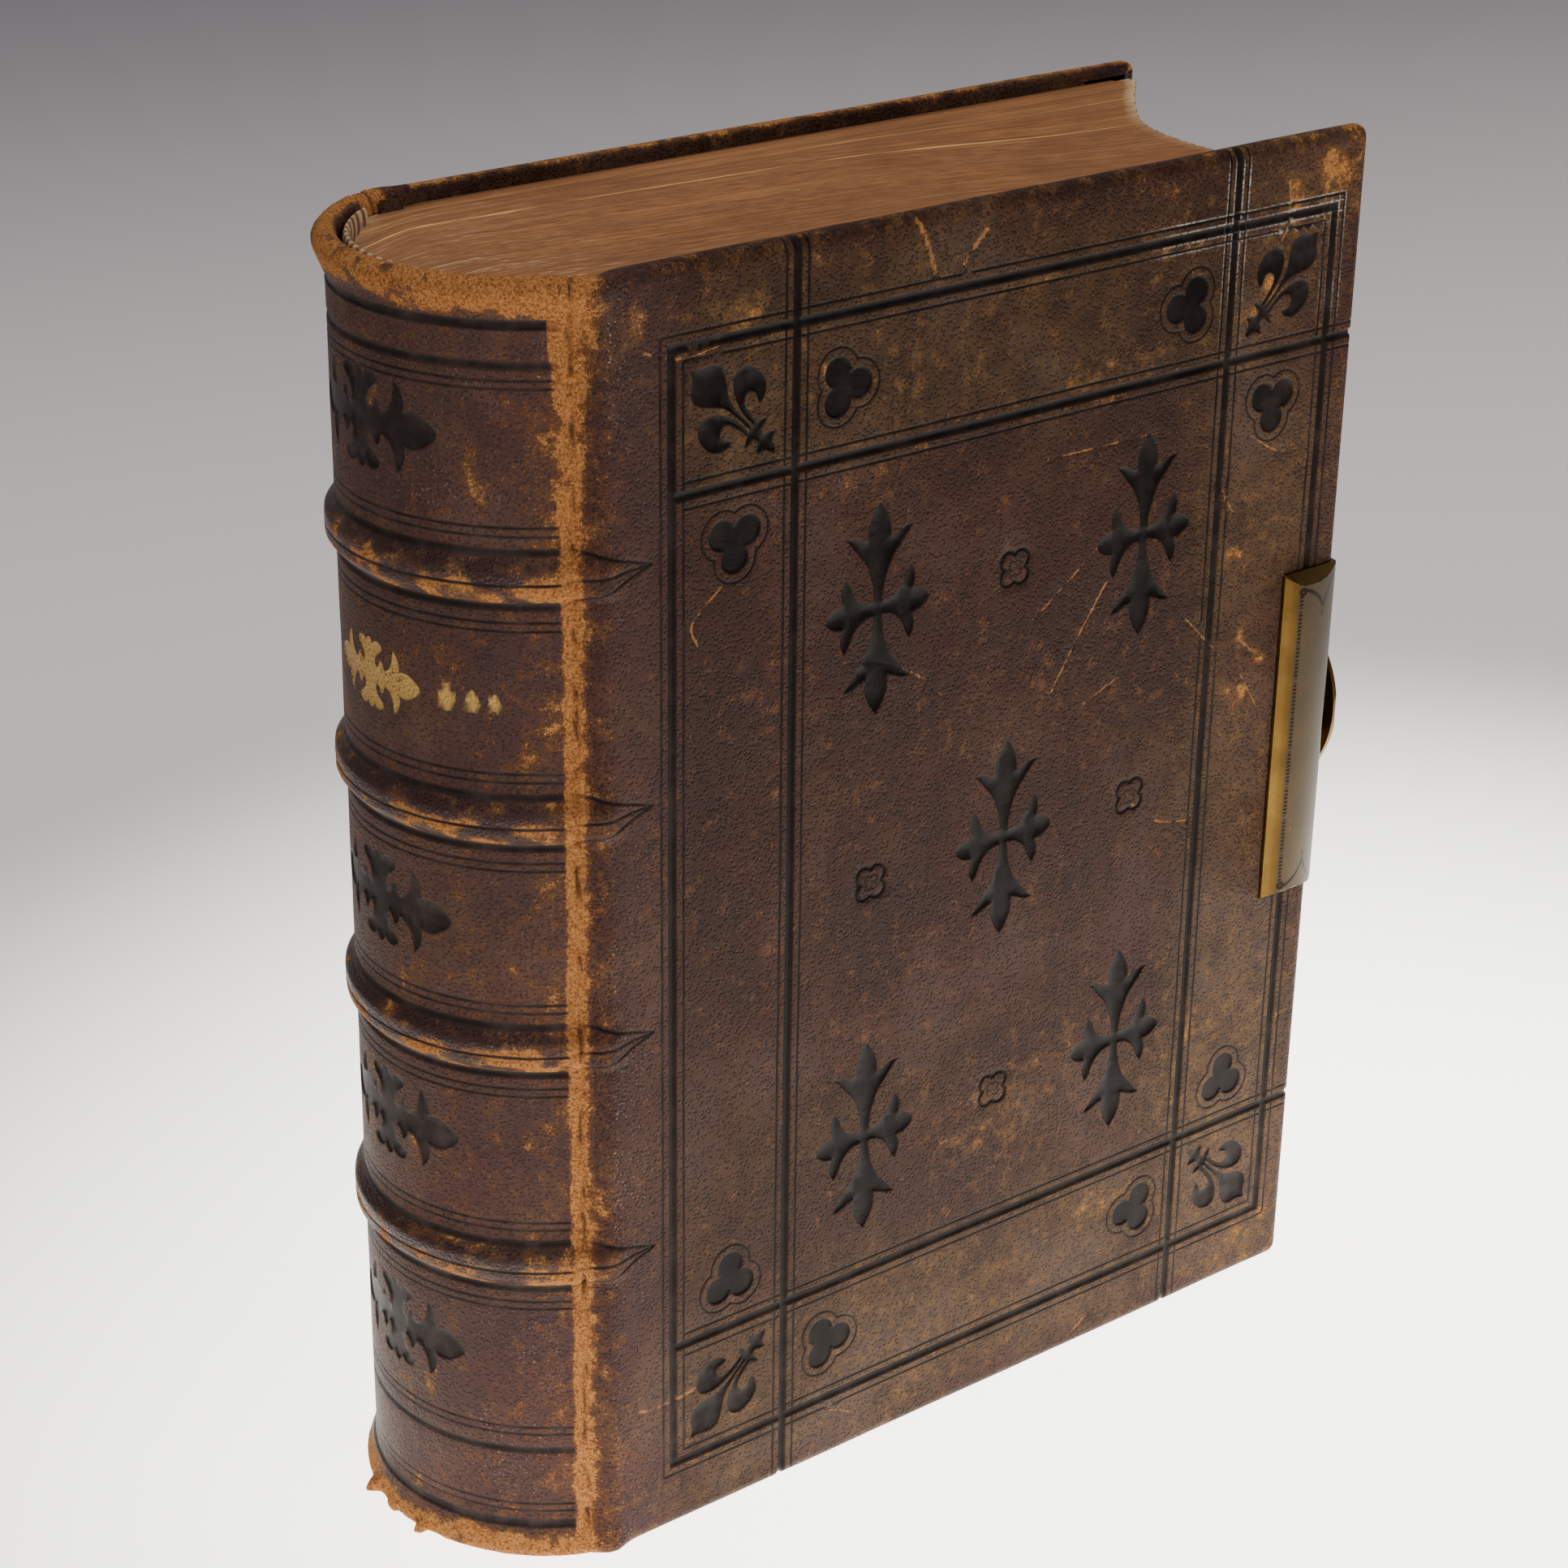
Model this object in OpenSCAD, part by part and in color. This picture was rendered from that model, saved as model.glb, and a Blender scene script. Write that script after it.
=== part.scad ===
// Large leather-bound family Bible with raised bands and a brass fore-edge clasp.
// The book stands on its tail. +Z is up, the spine faces -X, the front cover faces -Y.
// Inside the place() wrapper x runs from the front joint to the fore-edge, y from the front
// cover's outer face to the back cover's, and z from the tail to the head.

/* [Book] */
// Height of the covers, tail to head
book_h = 318; // [280:1:340]
// Width of a cover, joint to fore-edge
cover_w = 230; // [210:1:250]
// Thickness over both covers
book_t = 88; // [84:1:94]
// Overhang of the covers past the leaves at head and tail
square_w = 4; // [2:0.5:6]

/* [Covers] */
// Thickness of a covered board
cover_t = 4.7; // [4.2:0.1:5.4]
// Thickness of the covering leather
leather_t = 1; // [0.8:0.1:1.2]
// Thickness of the paper pasted inside each board
paste_t = 0.4; // [0.2:0.1:0.6]
// Width of the leather turned in round the inside of a board
turn_in = 16; // [10:1:22]
// Rounding of a cover's outer edges
edge_r = 3; // [2:0.5:3.5]
// Start of a board beside the joint
board_x = 3.5; // [3.5:0.1:5]

/* [Spine] */
// Outer radius of the spine between the bands
spine_r = 44.5; // [44:0.1:45]
// Outer radius over the caps at head and tail
cap_r = 47; // [46.5:0.1:47.2]
// Outer radius over the raised bands
band_r = 46.9; // [46.5:0.1:47.2]
// Height of one raised band's strip
band_h = 7.5; // [6:0.5:9]
// Height of the lowest band's middle above the tail
first_band_z = 81.5; // [75:0.5:85]
// Distance from band to band
band_pitch = 56.8; // [54:0.1:58]
// Number of raised bands
bands = 4; // [3:1:4]

/* [Leaves] */
// Number of sewn gatherings
gatherings = 24; // [12:1:30]
// Gatherings bound in front of the New Testament
old_gatherings = 18; // [8:1:22]
// Depth of the hollow fore-edge
hollow_d = 20; // [14:1:24]
// Thickness of a loose leaf
leaf_t = 0.3; // [0.2:0.1:0.3]
// Gap left between leaves, covers and block
leaf_gap = 0.3; // [0.3:0.05:0.4]

/* [Clasp] */
// Height of the middle of the clasp above the tail
clasp_z = 161; // [120:1:200]
// Height of the plate on each cover
plate_h = 91; // [70:1:100]
// Thickness of the plate metal
plate_t = 1.1; // [0.9:0.1:1.3]
// Height of the hasp
hasp_h = 39; // [30:1:39]
// Thickness of the hasp
hasp_t = 1.2; // [1:0.1:1.4]
// Radius of the hasp's hinge pin
pin_r = 1; // [0.8:0.1:1.2]

/* [Hidden] */
$fn = 96;
eps = 0.01;

// Spine: one circle round which the back of the book is built, a little behind the middle.
spine_cx = 17.3;
spine_shift = 1.5;
spine_cy = book_t / 2 + spine_shift;
spine_half = 66;
cap_h = 6;
cap_cord_r = 1.4;
card_r = spine_r - leather_t - 0.05;
tube_r = card_r - 0.95;
tube_wall = 0.4;
tube_gap = 0.7;
lining_r = tube_r - 2 * tube_wall - tube_gap - 0.05;
block_r = lining_r - 0.5;
joint_end = board_x - 0.3;

// Leaves: block between the loose leaves, inside the covers.
front_leaves = 3;
rear_leaves = 2;
leaf_pitch = leaf_t + leaf_gap;
block_y0 = cover_t + leaf_gap + front_leaves * leaf_pitch;
block_y1 = book_t - cover_t - leaf_gap - rear_leaves * leaf_pitch;
block_x1 = cover_w - square_w;
leaf_z0 = square_w;
leaf_z1 = book_h - square_w;
gather_pitch = (block_y1 - block_y0) / gatherings;
hollow_r = (pow((block_y1 - block_y0) / 2, 2) + pow(hollow_d, 2)) / (2 * hollow_d);
leaf_x0 = 8;
cord_r = 1.1;
inner_r = 1;

// Clasp: domed plates, seen in plan as an arc about (dome_cx, dome_cy).
dome_r = 19.5;
dome_cx = cover_w - 12;
dome_cy = 15.3;
dome_a0 = -98.8;
dome_a1 = -26.8;
rim_y = dome_cy + dome_r * sin(dome_a1);
plate_x0 = cover_w - 19;
end_slope = 0.8;
scoop_r = 33.5;
scoop_y = 33;
hinge_x = cover_w + 7.3;
hinge_y = book_t - 6;
knuckle_r = 2.2;
knuckles = 5;
hasp_x = cover_w + 6.1;
hasp_end_y = 3.2;
hasp_flare = 1.3;
hasp_flare_y = 13;
hasp_end_r = 32;
hasp_waist = 13;
stud_y = 12.2;
stud_r = 1.4;
stud_head_r = 2;
stud_top = cover_w + 5.4;
lug_t = 2.2;
lug_y0 = 3;
lug_y1 = stud_y + stud_head_r + 0.4;
lug_h = 16;
plate_pin_r = 0.8;
plate_pin_x = plate_x0 + 2.4;

// Middle of the whole book in x, from the spine's caps to the clasp hinge.
mid_x = ((spine_cx - cap_r) + (hinge_x + knuckle_r)) / 2;
mid_y = book_t / 2;

module place() { translate([-mid_x, -mid_y, 0]) children(); }

// Mirrors its children from the front cover to the back cover.
module to_back() { translate([0, book_t, 0]) mirror([0, 1, 0]) children(); }

function arc(cx, cy, r, a0, a1, steps) =
    [for (i = [0:steps]) let (a = a0 + (a1 - a0) * i / steps) [cx + r * cos(a), cy + r * sin(a)]];

// ---------- leaves ----------

// Plan of the text block: rounded back, flat sides and hollow fore-edge.
module block_plan() {
    difference() {
        union() {
            translate([spine_cx, spine_cy]) circle(r = block_r);
            translate([spine_cx, 0]) square([block_x1 - spine_cx, book_t]);
        }
        translate([block_x1 - hollow_d + hollow_r, (block_y0 + block_y1) / 2]) circle(r = hollow_r);
    }
}

// Gatherings number first to last, each a folded bundle of sheets, with the cords' grooves.
module gathering_group(first, last) {
    place() difference() {
        for (i = [first:last])
            translate([0, 0, leaf_z0]) linear_extrude(leaf_z1 - leaf_z0) intersection() {
                block_plan();
                translate([-cover_w, block_y0 + i * gather_pitch])
                    square([2 * cover_w, gather_pitch - 0.06]);
            }
        cord_rings(0.05);
    }
}

module old_testament_gatherings() {
    color([0.72, 0.60, 0.38]) gathering_group(0, old_gatherings - 1);
}

module new_testament_gatherings() {
    color([0.76, 0.64, 0.42]) gathering_group(old_gatherings, gatherings - 1);
}

// Square-sunk rings in the folds, grown by extra for the grooves that take them.
module cord_rings(extra) {
    for (i = [0:bands - 1])
        translate([spine_cx, spine_cy, first_band_z + i * band_pitch])
            rotate_extrude(angle = 2 * (spine_half - 6), start = 180 - spine_half + 6)
                translate([block_r - 2 * cord_r - extra, -cord_r - extra])
                    square([2 * cord_r + extra, 2 * (cord_r + extra)]);
    for (z = [leaf_z0 + 9, leaf_z1 - 9])
        translate([spine_cx, spine_cy, z])
            rotate_extrude(angle = 2 * (spine_half - 6), start = 180 - spine_half + 6)
                translate([block_r - 1 - extra, -0.5 - extra]) square([1 + extra, 1 + 2 * extra]);
}

module sewing_cords() {
    color([0.80, 0.74, 0.60]) place()
        for (i = [0:bands - 1])
            translate([spine_cx, spine_cy, first_band_z + i * band_pitch])
                rotate_extrude(angle = 2 * (spine_half - 7), start = 180 - spine_half + 7)
                    translate([block_r - cord_r, 0]) circle(r = cord_r - 0.02);
}

module kettle_stitches() {
    color([0.88, 0.84, 0.72]) place()
        for (z = [leaf_z0 + 9, leaf_z1 - 9])
            translate([spine_cx, spine_cy, z])
                rotate_extrude(angle = 2 * (spine_half - 7), start = 180 - spine_half + 7)
                    translate([block_r - 0.5, 0]) circle(r = 0.45);
}

// A loose leaf, number i counted inward from the front cover.
module leaf(i) {
    place() translate([leaf_x0, cover_t + leaf_gap + i * leaf_pitch, leaf_z0])
        cube([block_x1 - 4 - leaf_x0, leaf_t, leaf_z1 - leaf_z0]);
}

// A loose leaf, number i counted inward from the back cover.
module back_leaf(i) {
    place() to_back() translate([leaf_x0, cover_t + leaf_gap + i * leaf_pitch, leaf_z0])
        cube([block_x1 - 4 - leaf_x0, leaf_t, leaf_z1 - leaf_z0]);
}

module front_flyleaf() { color([0.86, 0.80, 0.66]) leaf(0); }
module frontispiece_leaf() { color([0.88, 0.82, 0.68]) leaf(1); }
module title_leaf() { color([0.88, 0.82, 0.68]) leaf(2); }
module rear_flyleaf() { color([0.86, 0.80, 0.66]) back_leaf(0); }
module last_leaf() { color([0.88, 0.82, 0.68]) back_leaf(1); }

// ---------- spine ----------

// A curved sheet round the spine from radius r0 to r1 and from z0 to z1.
module spine_sheet(r0, r1, z0, z1, half) {
    translate([spine_cx, spine_cy, 0])
        rotate_extrude(angle = 2 * half, start = 180 - half)
            translate([r0, z0]) square([r1 - r0, z1 - z0]);
}

module spine_lining() {
    color([0.80, 0.77, 0.68]) place()
        spine_sheet(block_r + 0.03, lining_r, leaf_z0 + 8, leaf_z1 - 8, spine_half - 6);
}

// Flattened paper tube that lets the spine spring away from the back of the leaves.
module hollow_tube() {
    color([0.62, 0.50, 0.34]) place() difference() {
        spine_sheet(lining_r + 0.05, tube_r, cap_h + 1, book_h - cap_h - 1, spine_half - 7);
        spine_sheet(lining_r + 0.05 + tube_wall, tube_r - tube_wall, -1, book_h + 1, spine_half - 9);
    }
}

module spine_card() {
    color([0.56, 0.50, 0.40]) place()
        spine_sheet(tube_r + 0.05, card_r, cap_h + 0.5, book_h - cap_h - 0.5, spine_half - 3);
}

// Section of one raised band, grown by extra: a strip with a rounded back.
module band_section(extra) {
    intersection() {
        translate([spine_r - leather_t, -band_h / 2 - extra]) square([10, band_h + 2 * extra]);
        translate([band_r - leather_t - 5 + extra, 0]) circle(r = 5);
    }
}

module raised_band_strips() {
    color([0.50, 0.42, 0.32]) place()
        for (i = [0:bands - 1])
            translate([spine_cx, spine_cy, first_band_z + i * band_pitch])
                rotate_extrude(angle = 2 * (spine_half - 3), start = 180 - spine_half + 3)
                    band_section(-0.02);
}

// Section of the spine leather: flat panels, bulges over the bands, rolled caps at the ends.
module spine_section() {
    difference() {
        union() {
            translate([spine_r - leather_t, 1]) square([leather_t, book_h - 2]);
            for (i = [0:bands - 1])
                translate([0, first_band_z + i * band_pitch]) band_section(leather_t);
            for (z = [cap_h / 2, book_h - cap_h / 2])
                translate([cap_r - cap_h / 2, z]) circle(d = cap_h);
        }
        for (i = [0:bands - 1])
            translate([0, first_band_z + i * band_pitch]) band_section(0);
        for (z = [cap_h / 2, book_h - cap_h / 2])
            translate([cap_r - cap_h / 2, z]) circle(r = cap_cord_r);
    }
}

module spine_leather() {
    color([0.28, 0.17, 0.12]) place() {
        translate([spine_cx, spine_cy, 0])
            rotate_extrude(angle = 2 * spine_half, start = 180 - spine_half) spine_section();
        joint_strip();
        to_back() translate([0, -2 * spine_shift, 0]) joint_strip();
    }
}

// The narrow strip of leather that carries the spine on to the edge of a board.
module joint_strip() {
    ex = spine_cx - spine_r * cos(spine_half);
    ey = spine_cy - spine_r * sin(spine_half);
    translate([0, 0, 1]) linear_extrude(book_h - 2) polygon([
        [ex - 0.05, ey], [joint_end, ey - 0.2], [joint_end, ey + leather_t - 0.2],
        [ex + 0.35, ey + 0.92]]);
}

// Sewn band at the top or bottom of the leaves' backs, round a cord.
module end_band(z) {
    place() translate([spine_cx, spine_cy, z])
        rotate_extrude(angle = 2 * (spine_half - 8), start = 180 - spine_half + 8)
            translate([block_r - 1.8, 0]) circle(r = 1.7);
}

module head_band() { color([0.86, 0.78, 0.62]) end_band(leaf_z1 + 1.75); }
module tail_band() { color([0.86, 0.78, 0.62]) end_band(leaf_z0 - 1.75); }

module cap_cords() {
    color([0.74, 0.66, 0.50]) place()
        for (z = [cap_h / 2, book_h - cap_h / 2])
            translate([spine_cx, spine_cy, z])
                rotate_extrude(angle = 2 * spine_half - 2, start = 181 - spine_half)
                    translate([cap_r - cap_h / 2, 0]) circle(r = cap_cord_r - 0.03);
}

// ---------- covers ----------

// Plan of a covered board: rounded at its outer fore-edge, slightly eased inside.
module cover_plan() {
    polygon(concat([[board_x, cover_t], [board_x, 0]],
        arc(cover_w - edge_r, edge_r, edge_r, -90, 0, 8),
        arc(cover_w - inner_r, cover_t - inner_r, inner_r, 0, 90, 4)));
}

// The same rounding seen from the fore-edge, for the head and tail edges.
module cover_side() {
    polygon(concat(
        arc(edge_r, edge_r, edge_r, 180, 270, 8),
        arc(cover_t - inner_r, inner_r, inner_r, 270, 360, 4),
        arc(cover_t - inner_r, book_h - inner_r, inner_r, 0, 90, 4),
        arc(edge_r, book_h - edge_r, edge_r, 90, 180, 8)));
}

module cover_solid() {
    intersection() {
        linear_extrude(book_h) cover_plan();
        rotate([90, 0, 90]) linear_extrude(cover_w + 1) cover_side();
    }
}

// The bare board inside its leather.
module board_core() {
    translate([board_x + 0.5, leather_t, leather_t])
        cube([cover_w - board_x - 0.5 - leather_t, cover_t - leather_t - 0.7, book_h - 2 * leather_t]);
}

// Space for the pasted-down paper inside the turned-in leather.
module paste_space(t) {
    translate([board_x + 0.5, cover_t - t, turn_in])
        cube([cover_w - board_x - 0.5 - turn_in, t, book_h - 2 * turn_in]);
}

// Places of the pins that hold a plate to its board.
module at_plate_pins() {
    for (s = [-1, 0, 1]) translate([plate_pin_x, 0, clasp_z + s * (plate_h / 2 - 9)])
        rotate([-90, 0, 0]) children();
}

module plate_pins_solid() {
    at_plate_pins() translate([0, 0, -1.2]) cylinder(r = plate_pin_r, h = 1.2 + cover_t - 0.8);
}

module leather_solid() {
    difference() {
        cover_solid();
        board_core();
        translate([0, eps, 0]) paste_space(0.7 + eps);
        plate_pins_solid();
    }
}

module board_solid() {
    difference() {
        board_core();
        plate_pins_solid();
    }
}

module paste_solid() {
    translate([0, -0.7 + paste_t, 0]) paste_space(paste_t);
}

module front_board() { color([0.60, 0.52, 0.38]) place() board_solid(); }
module back_board() { color([0.60, 0.52, 0.38]) place() to_back() board_solid(); }
module front_cover_leather() { color([0.26, 0.16, 0.12]) place() leather_solid(); }
module back_cover_leather() { color([0.26, 0.16, 0.12]) place() to_back() leather_solid(); }
module front_pastedown() { color([0.84, 0.78, 0.64]) place() paste_solid(); }
module back_pastedown() { color([0.84, 0.78, 0.64]) place() to_back() paste_solid(); }

// ---------- clasp ----------

// Outer edge of a plate in plan: bevel, then the dome round the fore-edge.
dome_edge = concat(
    [[plate_x0, 0], [plate_x0, -0.8]],
    arc(dome_cx, dome_cy, dome_r, dome_a0, dome_a1, 24));

// The sheet metal alone, with a solid rim along its inner side.
module plate_plan() {
    polygon(concat(dome_edge, arc(dome_cx, dome_cy, dome_r - plate_t, dome_a1, -96, 24),
        [[plate_x0 + 5, 0]]));
}

// The closed end of a plate, cut to fit over the cover.
module plate_end_plan() {
    difference() {
        polygon(concat(dome_edge, [[cover_w, rim_y], [cover_w, edge_r],
            [cover_w - edge_r, edge_r], [cover_w - edge_r, 0]]));
        cover_plan();
    }
}

// Blank whose ends slope in as the dome rises, as on a bevelled frame.
module plate_blank(h) {
    rise = dome_r - dome_cy + 1;
    rotate([90, 0, 90]) linear_extrude(cover_w + 20) polygon([
        [12, clasp_z - h / 2], [0, clasp_z - h / 2],
        [-rise, clasp_z - h / 2 + rise * end_slope],
        [-rise, clasp_z + h / 2 - rise * end_slope],
        [0, clasp_z + h / 2], [12, clasp_z + h / 2]]);
}

// A domed plate before its scoop or hinge is cut.
module domed_plate() {
    difference() {
        intersection() {
            translate([0, 0, clasp_z - plate_h / 2]) linear_extrude(plate_h) union() {
                plate_plan();
                plate_end_plan();
            }
            plate_blank(plate_h);
        }
        intersection() {
            translate([0, 0, clasp_z - plate_h / 2]) linear_extrude(plate_h) difference() {
                plate_end_plan();
                plate_plan();
            }
            plate_blank(plate_h - 2 * plate_t);
        }
        cover_solid();
        plate_pins_solid();
    }
}

module catch_plate() {
    color([0.78, 0.64, 0.32]) place() difference() {
        domed_plate();
        translate([cover_w - 6, scoop_y, clasp_z]) rotate([0, 90, 0]) cylinder(r = scoop_r, h = 20);
    }
}

// One part of the hinge barrel, number i of the knuckles from the bottom.
module knuckle(i, r, gap) {
    step = hasp_h / knuckles;
    translate([hinge_x, hinge_y, clasp_z - hasp_h / 2 + i * step + gap])
        cylinder(r = r, h = step - 2 * gap);
}

module hinge_bore(r) {
    translate([hinge_x, hinge_y, clasp_z - hasp_h / 2 - 1]) cylinder(r = r, h = hasp_h + 2);
}

module hinge_plate() {
    color([0.78, 0.64, 0.32]) place() difference() {
        union() {
            difference() {
                to_back() domed_plate();
                for (i = [1, 3]) knuckle(i, knuckle_r + 0.35, -0.1);
            }
            for (i = [0, 2, 4]) {
                knuckle(i, knuckle_r, 0.1);
                hinge_leaf(i);
            }
        }
        hinge_bore(pin_r);
    }
}

// Short web from a knuckle of the plate to the plate's rim.
module hinge_leaf(i) {
    step = hasp_h / knuckles;
    translate([cover_w + 4.6, hinge_y - 0.9, clasp_z - hasp_h / 2 + i * step + 0.1])
        cube([hinge_x - cover_w - 4.6, 1.6, step - 0.2]);
}

module hinge_pin() {
    color([0.70, 0.56, 0.30]) place() hinge_pin_solid();
}

module hinge_pin_solid() {
    translate([hinge_x, hinge_y, clasp_z - hasp_h / 2 - 0.5]) cylinder(r = pin_r, h = hasp_h + 1);
}

// Outline of the hasp seen from the fore-edge (y across, z up): rounded end, slimmer waist.
module hasp_outline() {
    end_x = hasp_end_y + hasp_end_r;
    intersection() {
        union() {
            translate([end_x, clasp_z]) circle(r = hasp_end_r);
            translate([end_x - 6, clasp_z - hasp_h / 2]) square([hinge_y - end_x + 6, hasp_h]);
        }
        translate([0, clasp_z - hasp_h / 2]) square([hinge_y - 0.5, hasp_h]);
        difference() {
            translate([0, clasp_z - hasp_h]) square([book_t, 2 * hasp_h]);
            for (s = [-1, 1]) translate([mid_y + 1, clasp_z + s * (hasp_waist + 60)]) circle(r = 60);
        }
    }
}

// Plan of the hasp: straight band with its free end curved outward for the thumb.
module hasp_plan() {
    flare_r = (pow(hasp_flare_y - hasp_end_y, 2) + pow(hasp_flare, 2)) / (2 * hasp_flare);
    a = asin((hasp_flare_y - hasp_end_y) / flare_r);
    cx = hasp_x + flare_r;
    polygon(concat(
        [[hasp_x, hinge_y - 0.2]],
        arc(cx, hasp_flare_y, flare_r, 180, 180 + a, 10),
        arc(cx, hasp_flare_y, flare_r - hasp_t, 180 + a, 180, 10),
        [[hasp_x + hasp_t, hinge_y - 0.2]]));
}

module hasp() {
    color([0.76, 0.62, 0.30]) place() difference() {
        union() {
            intersection() {
                linear_extrude(book_h) hasp_plan();
                translate([cover_w, 0, 0]) rotate([90, 0, 90]) linear_extrude(20) hasp_outline();
                difference() {
                    cube([cover_w + 20, book_t, book_h]);
                    for (i = [0, 2, 4]) knuckle(i, knuckle_r + 0.35, -0.1);
                }
            }
            for (i = [1, 3]) knuckle(i, knuckle_r, 0.1);
        }
        hinge_bore(pin_r + 0.05);
        translate([cover_w, stud_y, clasp_z]) rotate([0, 90, 0]) cylinder(r = stud_head_r + 0.6, h = 20);
    }
}

// Brass lug on the front board's fore-edge, under the plate, which carries the stud.
module catch_block() {
    color([0.72, 0.58, 0.30]) place() difference() {
        translate([cover_w, lug_y0, clasp_z - lug_h / 2]) cube([lug_t, lug_y1 - lug_y0, lug_h]);
        translate([cover_w + 1, stud_y, clasp_z]) rotate([0, 90, 0]) cylinder(r = stud_r, h = 3);
    }
}

// Round-headed stud that the hasp's hole snaps over.
module catch_stud() {
    color([0.80, 0.66, 0.34]) place() translate([0, stud_y, clasp_z]) rotate([0, 90, 0]) {
        translate([0, 0, cover_w + 1]) cylinder(r = stud_r, h = stud_top - 1 - cover_w - 1);
        translate([0, 0, stud_top - 1]) cylinder(r = stud_head_r, h = 0.5);
        translate([0, 0, stud_top - 0.5]) cylinder(r1 = stud_head_r, r2 = stud_r, h = 0.5);
    }
}

module catch_plate_pins() { color([0.70, 0.56, 0.30]) place() plate_pins_solid(); }
module hinge_plate_pins() { color([0.70, 0.56, 0.30]) place() to_back() plate_pins_solid(); }

old_testament_gatherings();
new_testament_gatherings();
sewing_cords();
kettle_stitches();
spine_lining();
hollow_tube();
spine_card();
raised_band_strips();
spine_leather();
head_band();
tail_band();
cap_cords();
front_board();
front_cover_leather();
front_pastedown();
catch_plate();
catch_plate_pins();
catch_block();
catch_stud();
back_board();
back_cover_leather();
back_pastedown();
hinge_plate();
hinge_plate_pins();
hinge_pin();
hasp();
front_flyleaf();
frontispiece_leaf();
title_leaf();
rear_flyleaf();
last_leaf();
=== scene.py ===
import math
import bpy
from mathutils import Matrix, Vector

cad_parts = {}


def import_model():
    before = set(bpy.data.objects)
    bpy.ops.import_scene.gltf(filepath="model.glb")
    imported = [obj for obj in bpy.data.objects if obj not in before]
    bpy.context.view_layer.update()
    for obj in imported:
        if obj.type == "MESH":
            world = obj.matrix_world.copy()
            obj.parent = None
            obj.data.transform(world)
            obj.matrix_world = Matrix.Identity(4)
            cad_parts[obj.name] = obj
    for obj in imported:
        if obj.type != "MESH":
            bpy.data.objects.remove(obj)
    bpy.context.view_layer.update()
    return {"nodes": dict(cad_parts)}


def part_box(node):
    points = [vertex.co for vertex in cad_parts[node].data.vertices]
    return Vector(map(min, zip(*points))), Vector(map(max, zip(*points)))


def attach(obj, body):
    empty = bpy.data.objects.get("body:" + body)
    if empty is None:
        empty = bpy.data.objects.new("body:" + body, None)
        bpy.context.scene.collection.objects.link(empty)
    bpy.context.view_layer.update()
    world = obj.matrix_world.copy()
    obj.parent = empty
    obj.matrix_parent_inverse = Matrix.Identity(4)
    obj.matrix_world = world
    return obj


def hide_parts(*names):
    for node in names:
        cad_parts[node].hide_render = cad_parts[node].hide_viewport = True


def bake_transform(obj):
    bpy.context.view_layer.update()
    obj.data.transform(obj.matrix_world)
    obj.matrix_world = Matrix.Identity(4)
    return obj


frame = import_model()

from types import SimpleNamespace

import bpy
import numpy as np
from mathutils import Matrix, Vector, noise
from mathutils.geometry import delaunay_2d_cdt

MM = 0.001

# ---------------------------------------------------------------- the book's own millimetres
# x runs from the front joint to the fore-edge, y from the front cover's face to the back
# cover's, z from the tail to the head, as in the CAD design.
cover_low, cover_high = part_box("front_cover_leather")
back_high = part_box("back_cover_leather")[1]
card_low, card_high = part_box("spine_card")
spine_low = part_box("spine_leather")[0]
strip_low, strip_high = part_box("raised_band_strips")
block_low, block_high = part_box("old_testament_gatherings")
rear_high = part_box("new_testament_gatherings")[1]
plate_low, plate_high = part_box("catch_plate")
stud_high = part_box("catch_stud")[1]

BOARD_X = 3.5                                        # gap from the joint to the board
JOINT = Vector((cover_low.x - BOARD_X * MM, cover_low.y, 0))
BOOK_H = cover_high.z / MM
COVER_W = (cover_high.x - JOINT.x) / MM
COVER_T = (cover_high.y - cover_low.y) / MM
BOOK_T = (back_high.y - cover_low.y) / MM
CAP_R = 47.0                                         # outside of the rolled caps
SPINE_R = 44.5                                       # outside of the spine's leather
SPINE_CX = (spine_low.x - JOINT.x) / MM + CAP_R
SPINE_CY = ((card_low.y + card_high.y) / 2 - JOINT.y) / MM
BAND_HALF = 3.75                                     # half the height of a band's strip
BANDS = np.linspace(strip_low.z / MM + BAND_HALF, strip_high.z / MM - BAND_HALF, 4)
CLASP_Z = (plate_low.z + plate_high.z) / 2 / MM
PLATE_H = (plate_high.z - plate_low.z) / MM
EDGE = 3.2                                           # rounding of a cover's edges
SEAM = 11.0                                          # where the cover's sheet meets the joint's
SEAM_PHI = math.radians(60)                          # where the spine's sheet meets the joint's
SEAM_X = SPINE_CX - SPINE_R * math.cos(SEAM_PHI)

rng = np.random.default_rng(7)


def world(points):
    """Book millimetres to the frame's metres."""
    return np.asarray(points, float) * MM + np.array(JOINT)


def smooth(lo, hi, x):
    t = np.clip((x - lo) / (hi - lo), 0, 1)
    return t * t * (3 - 2 * t)


def spline(points, step=0.4, closed=False):
    """A Catmull-Rom curve through points, as points about step apart."""
    p = np.asarray(points, float)
    ends = (p[-1:], p[:1]) if closed else (2 * p[:1] - p[1:2], 2 * p[-1:] - p[-2:-1])
    q = np.vstack([ends[0], p, ends[1]])
    out = []
    for i in range(1, len(q) - 2):
        a, b, c, d = q[i - 1:i + 3]
        n = max(2, int(np.linalg.norm(c - b) / step))
        t = np.linspace(0, 1, n, endpoint=False)[:, None]
        out.append(0.5 * (2 * b + (c - a) * t + (2 * a - 5 * b + 4 * c - d) * t ** 2
                          + (3 * b - a - 3 * c + d) * t ** 3))
    return np.vstack(out + [p[-1:]])


def by_length(path):
    """Length along a path at each of its points."""
    return np.concatenate([[0], np.cumsum(np.linalg.norm(np.diff(path, axis=0), axis=1))])


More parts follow.
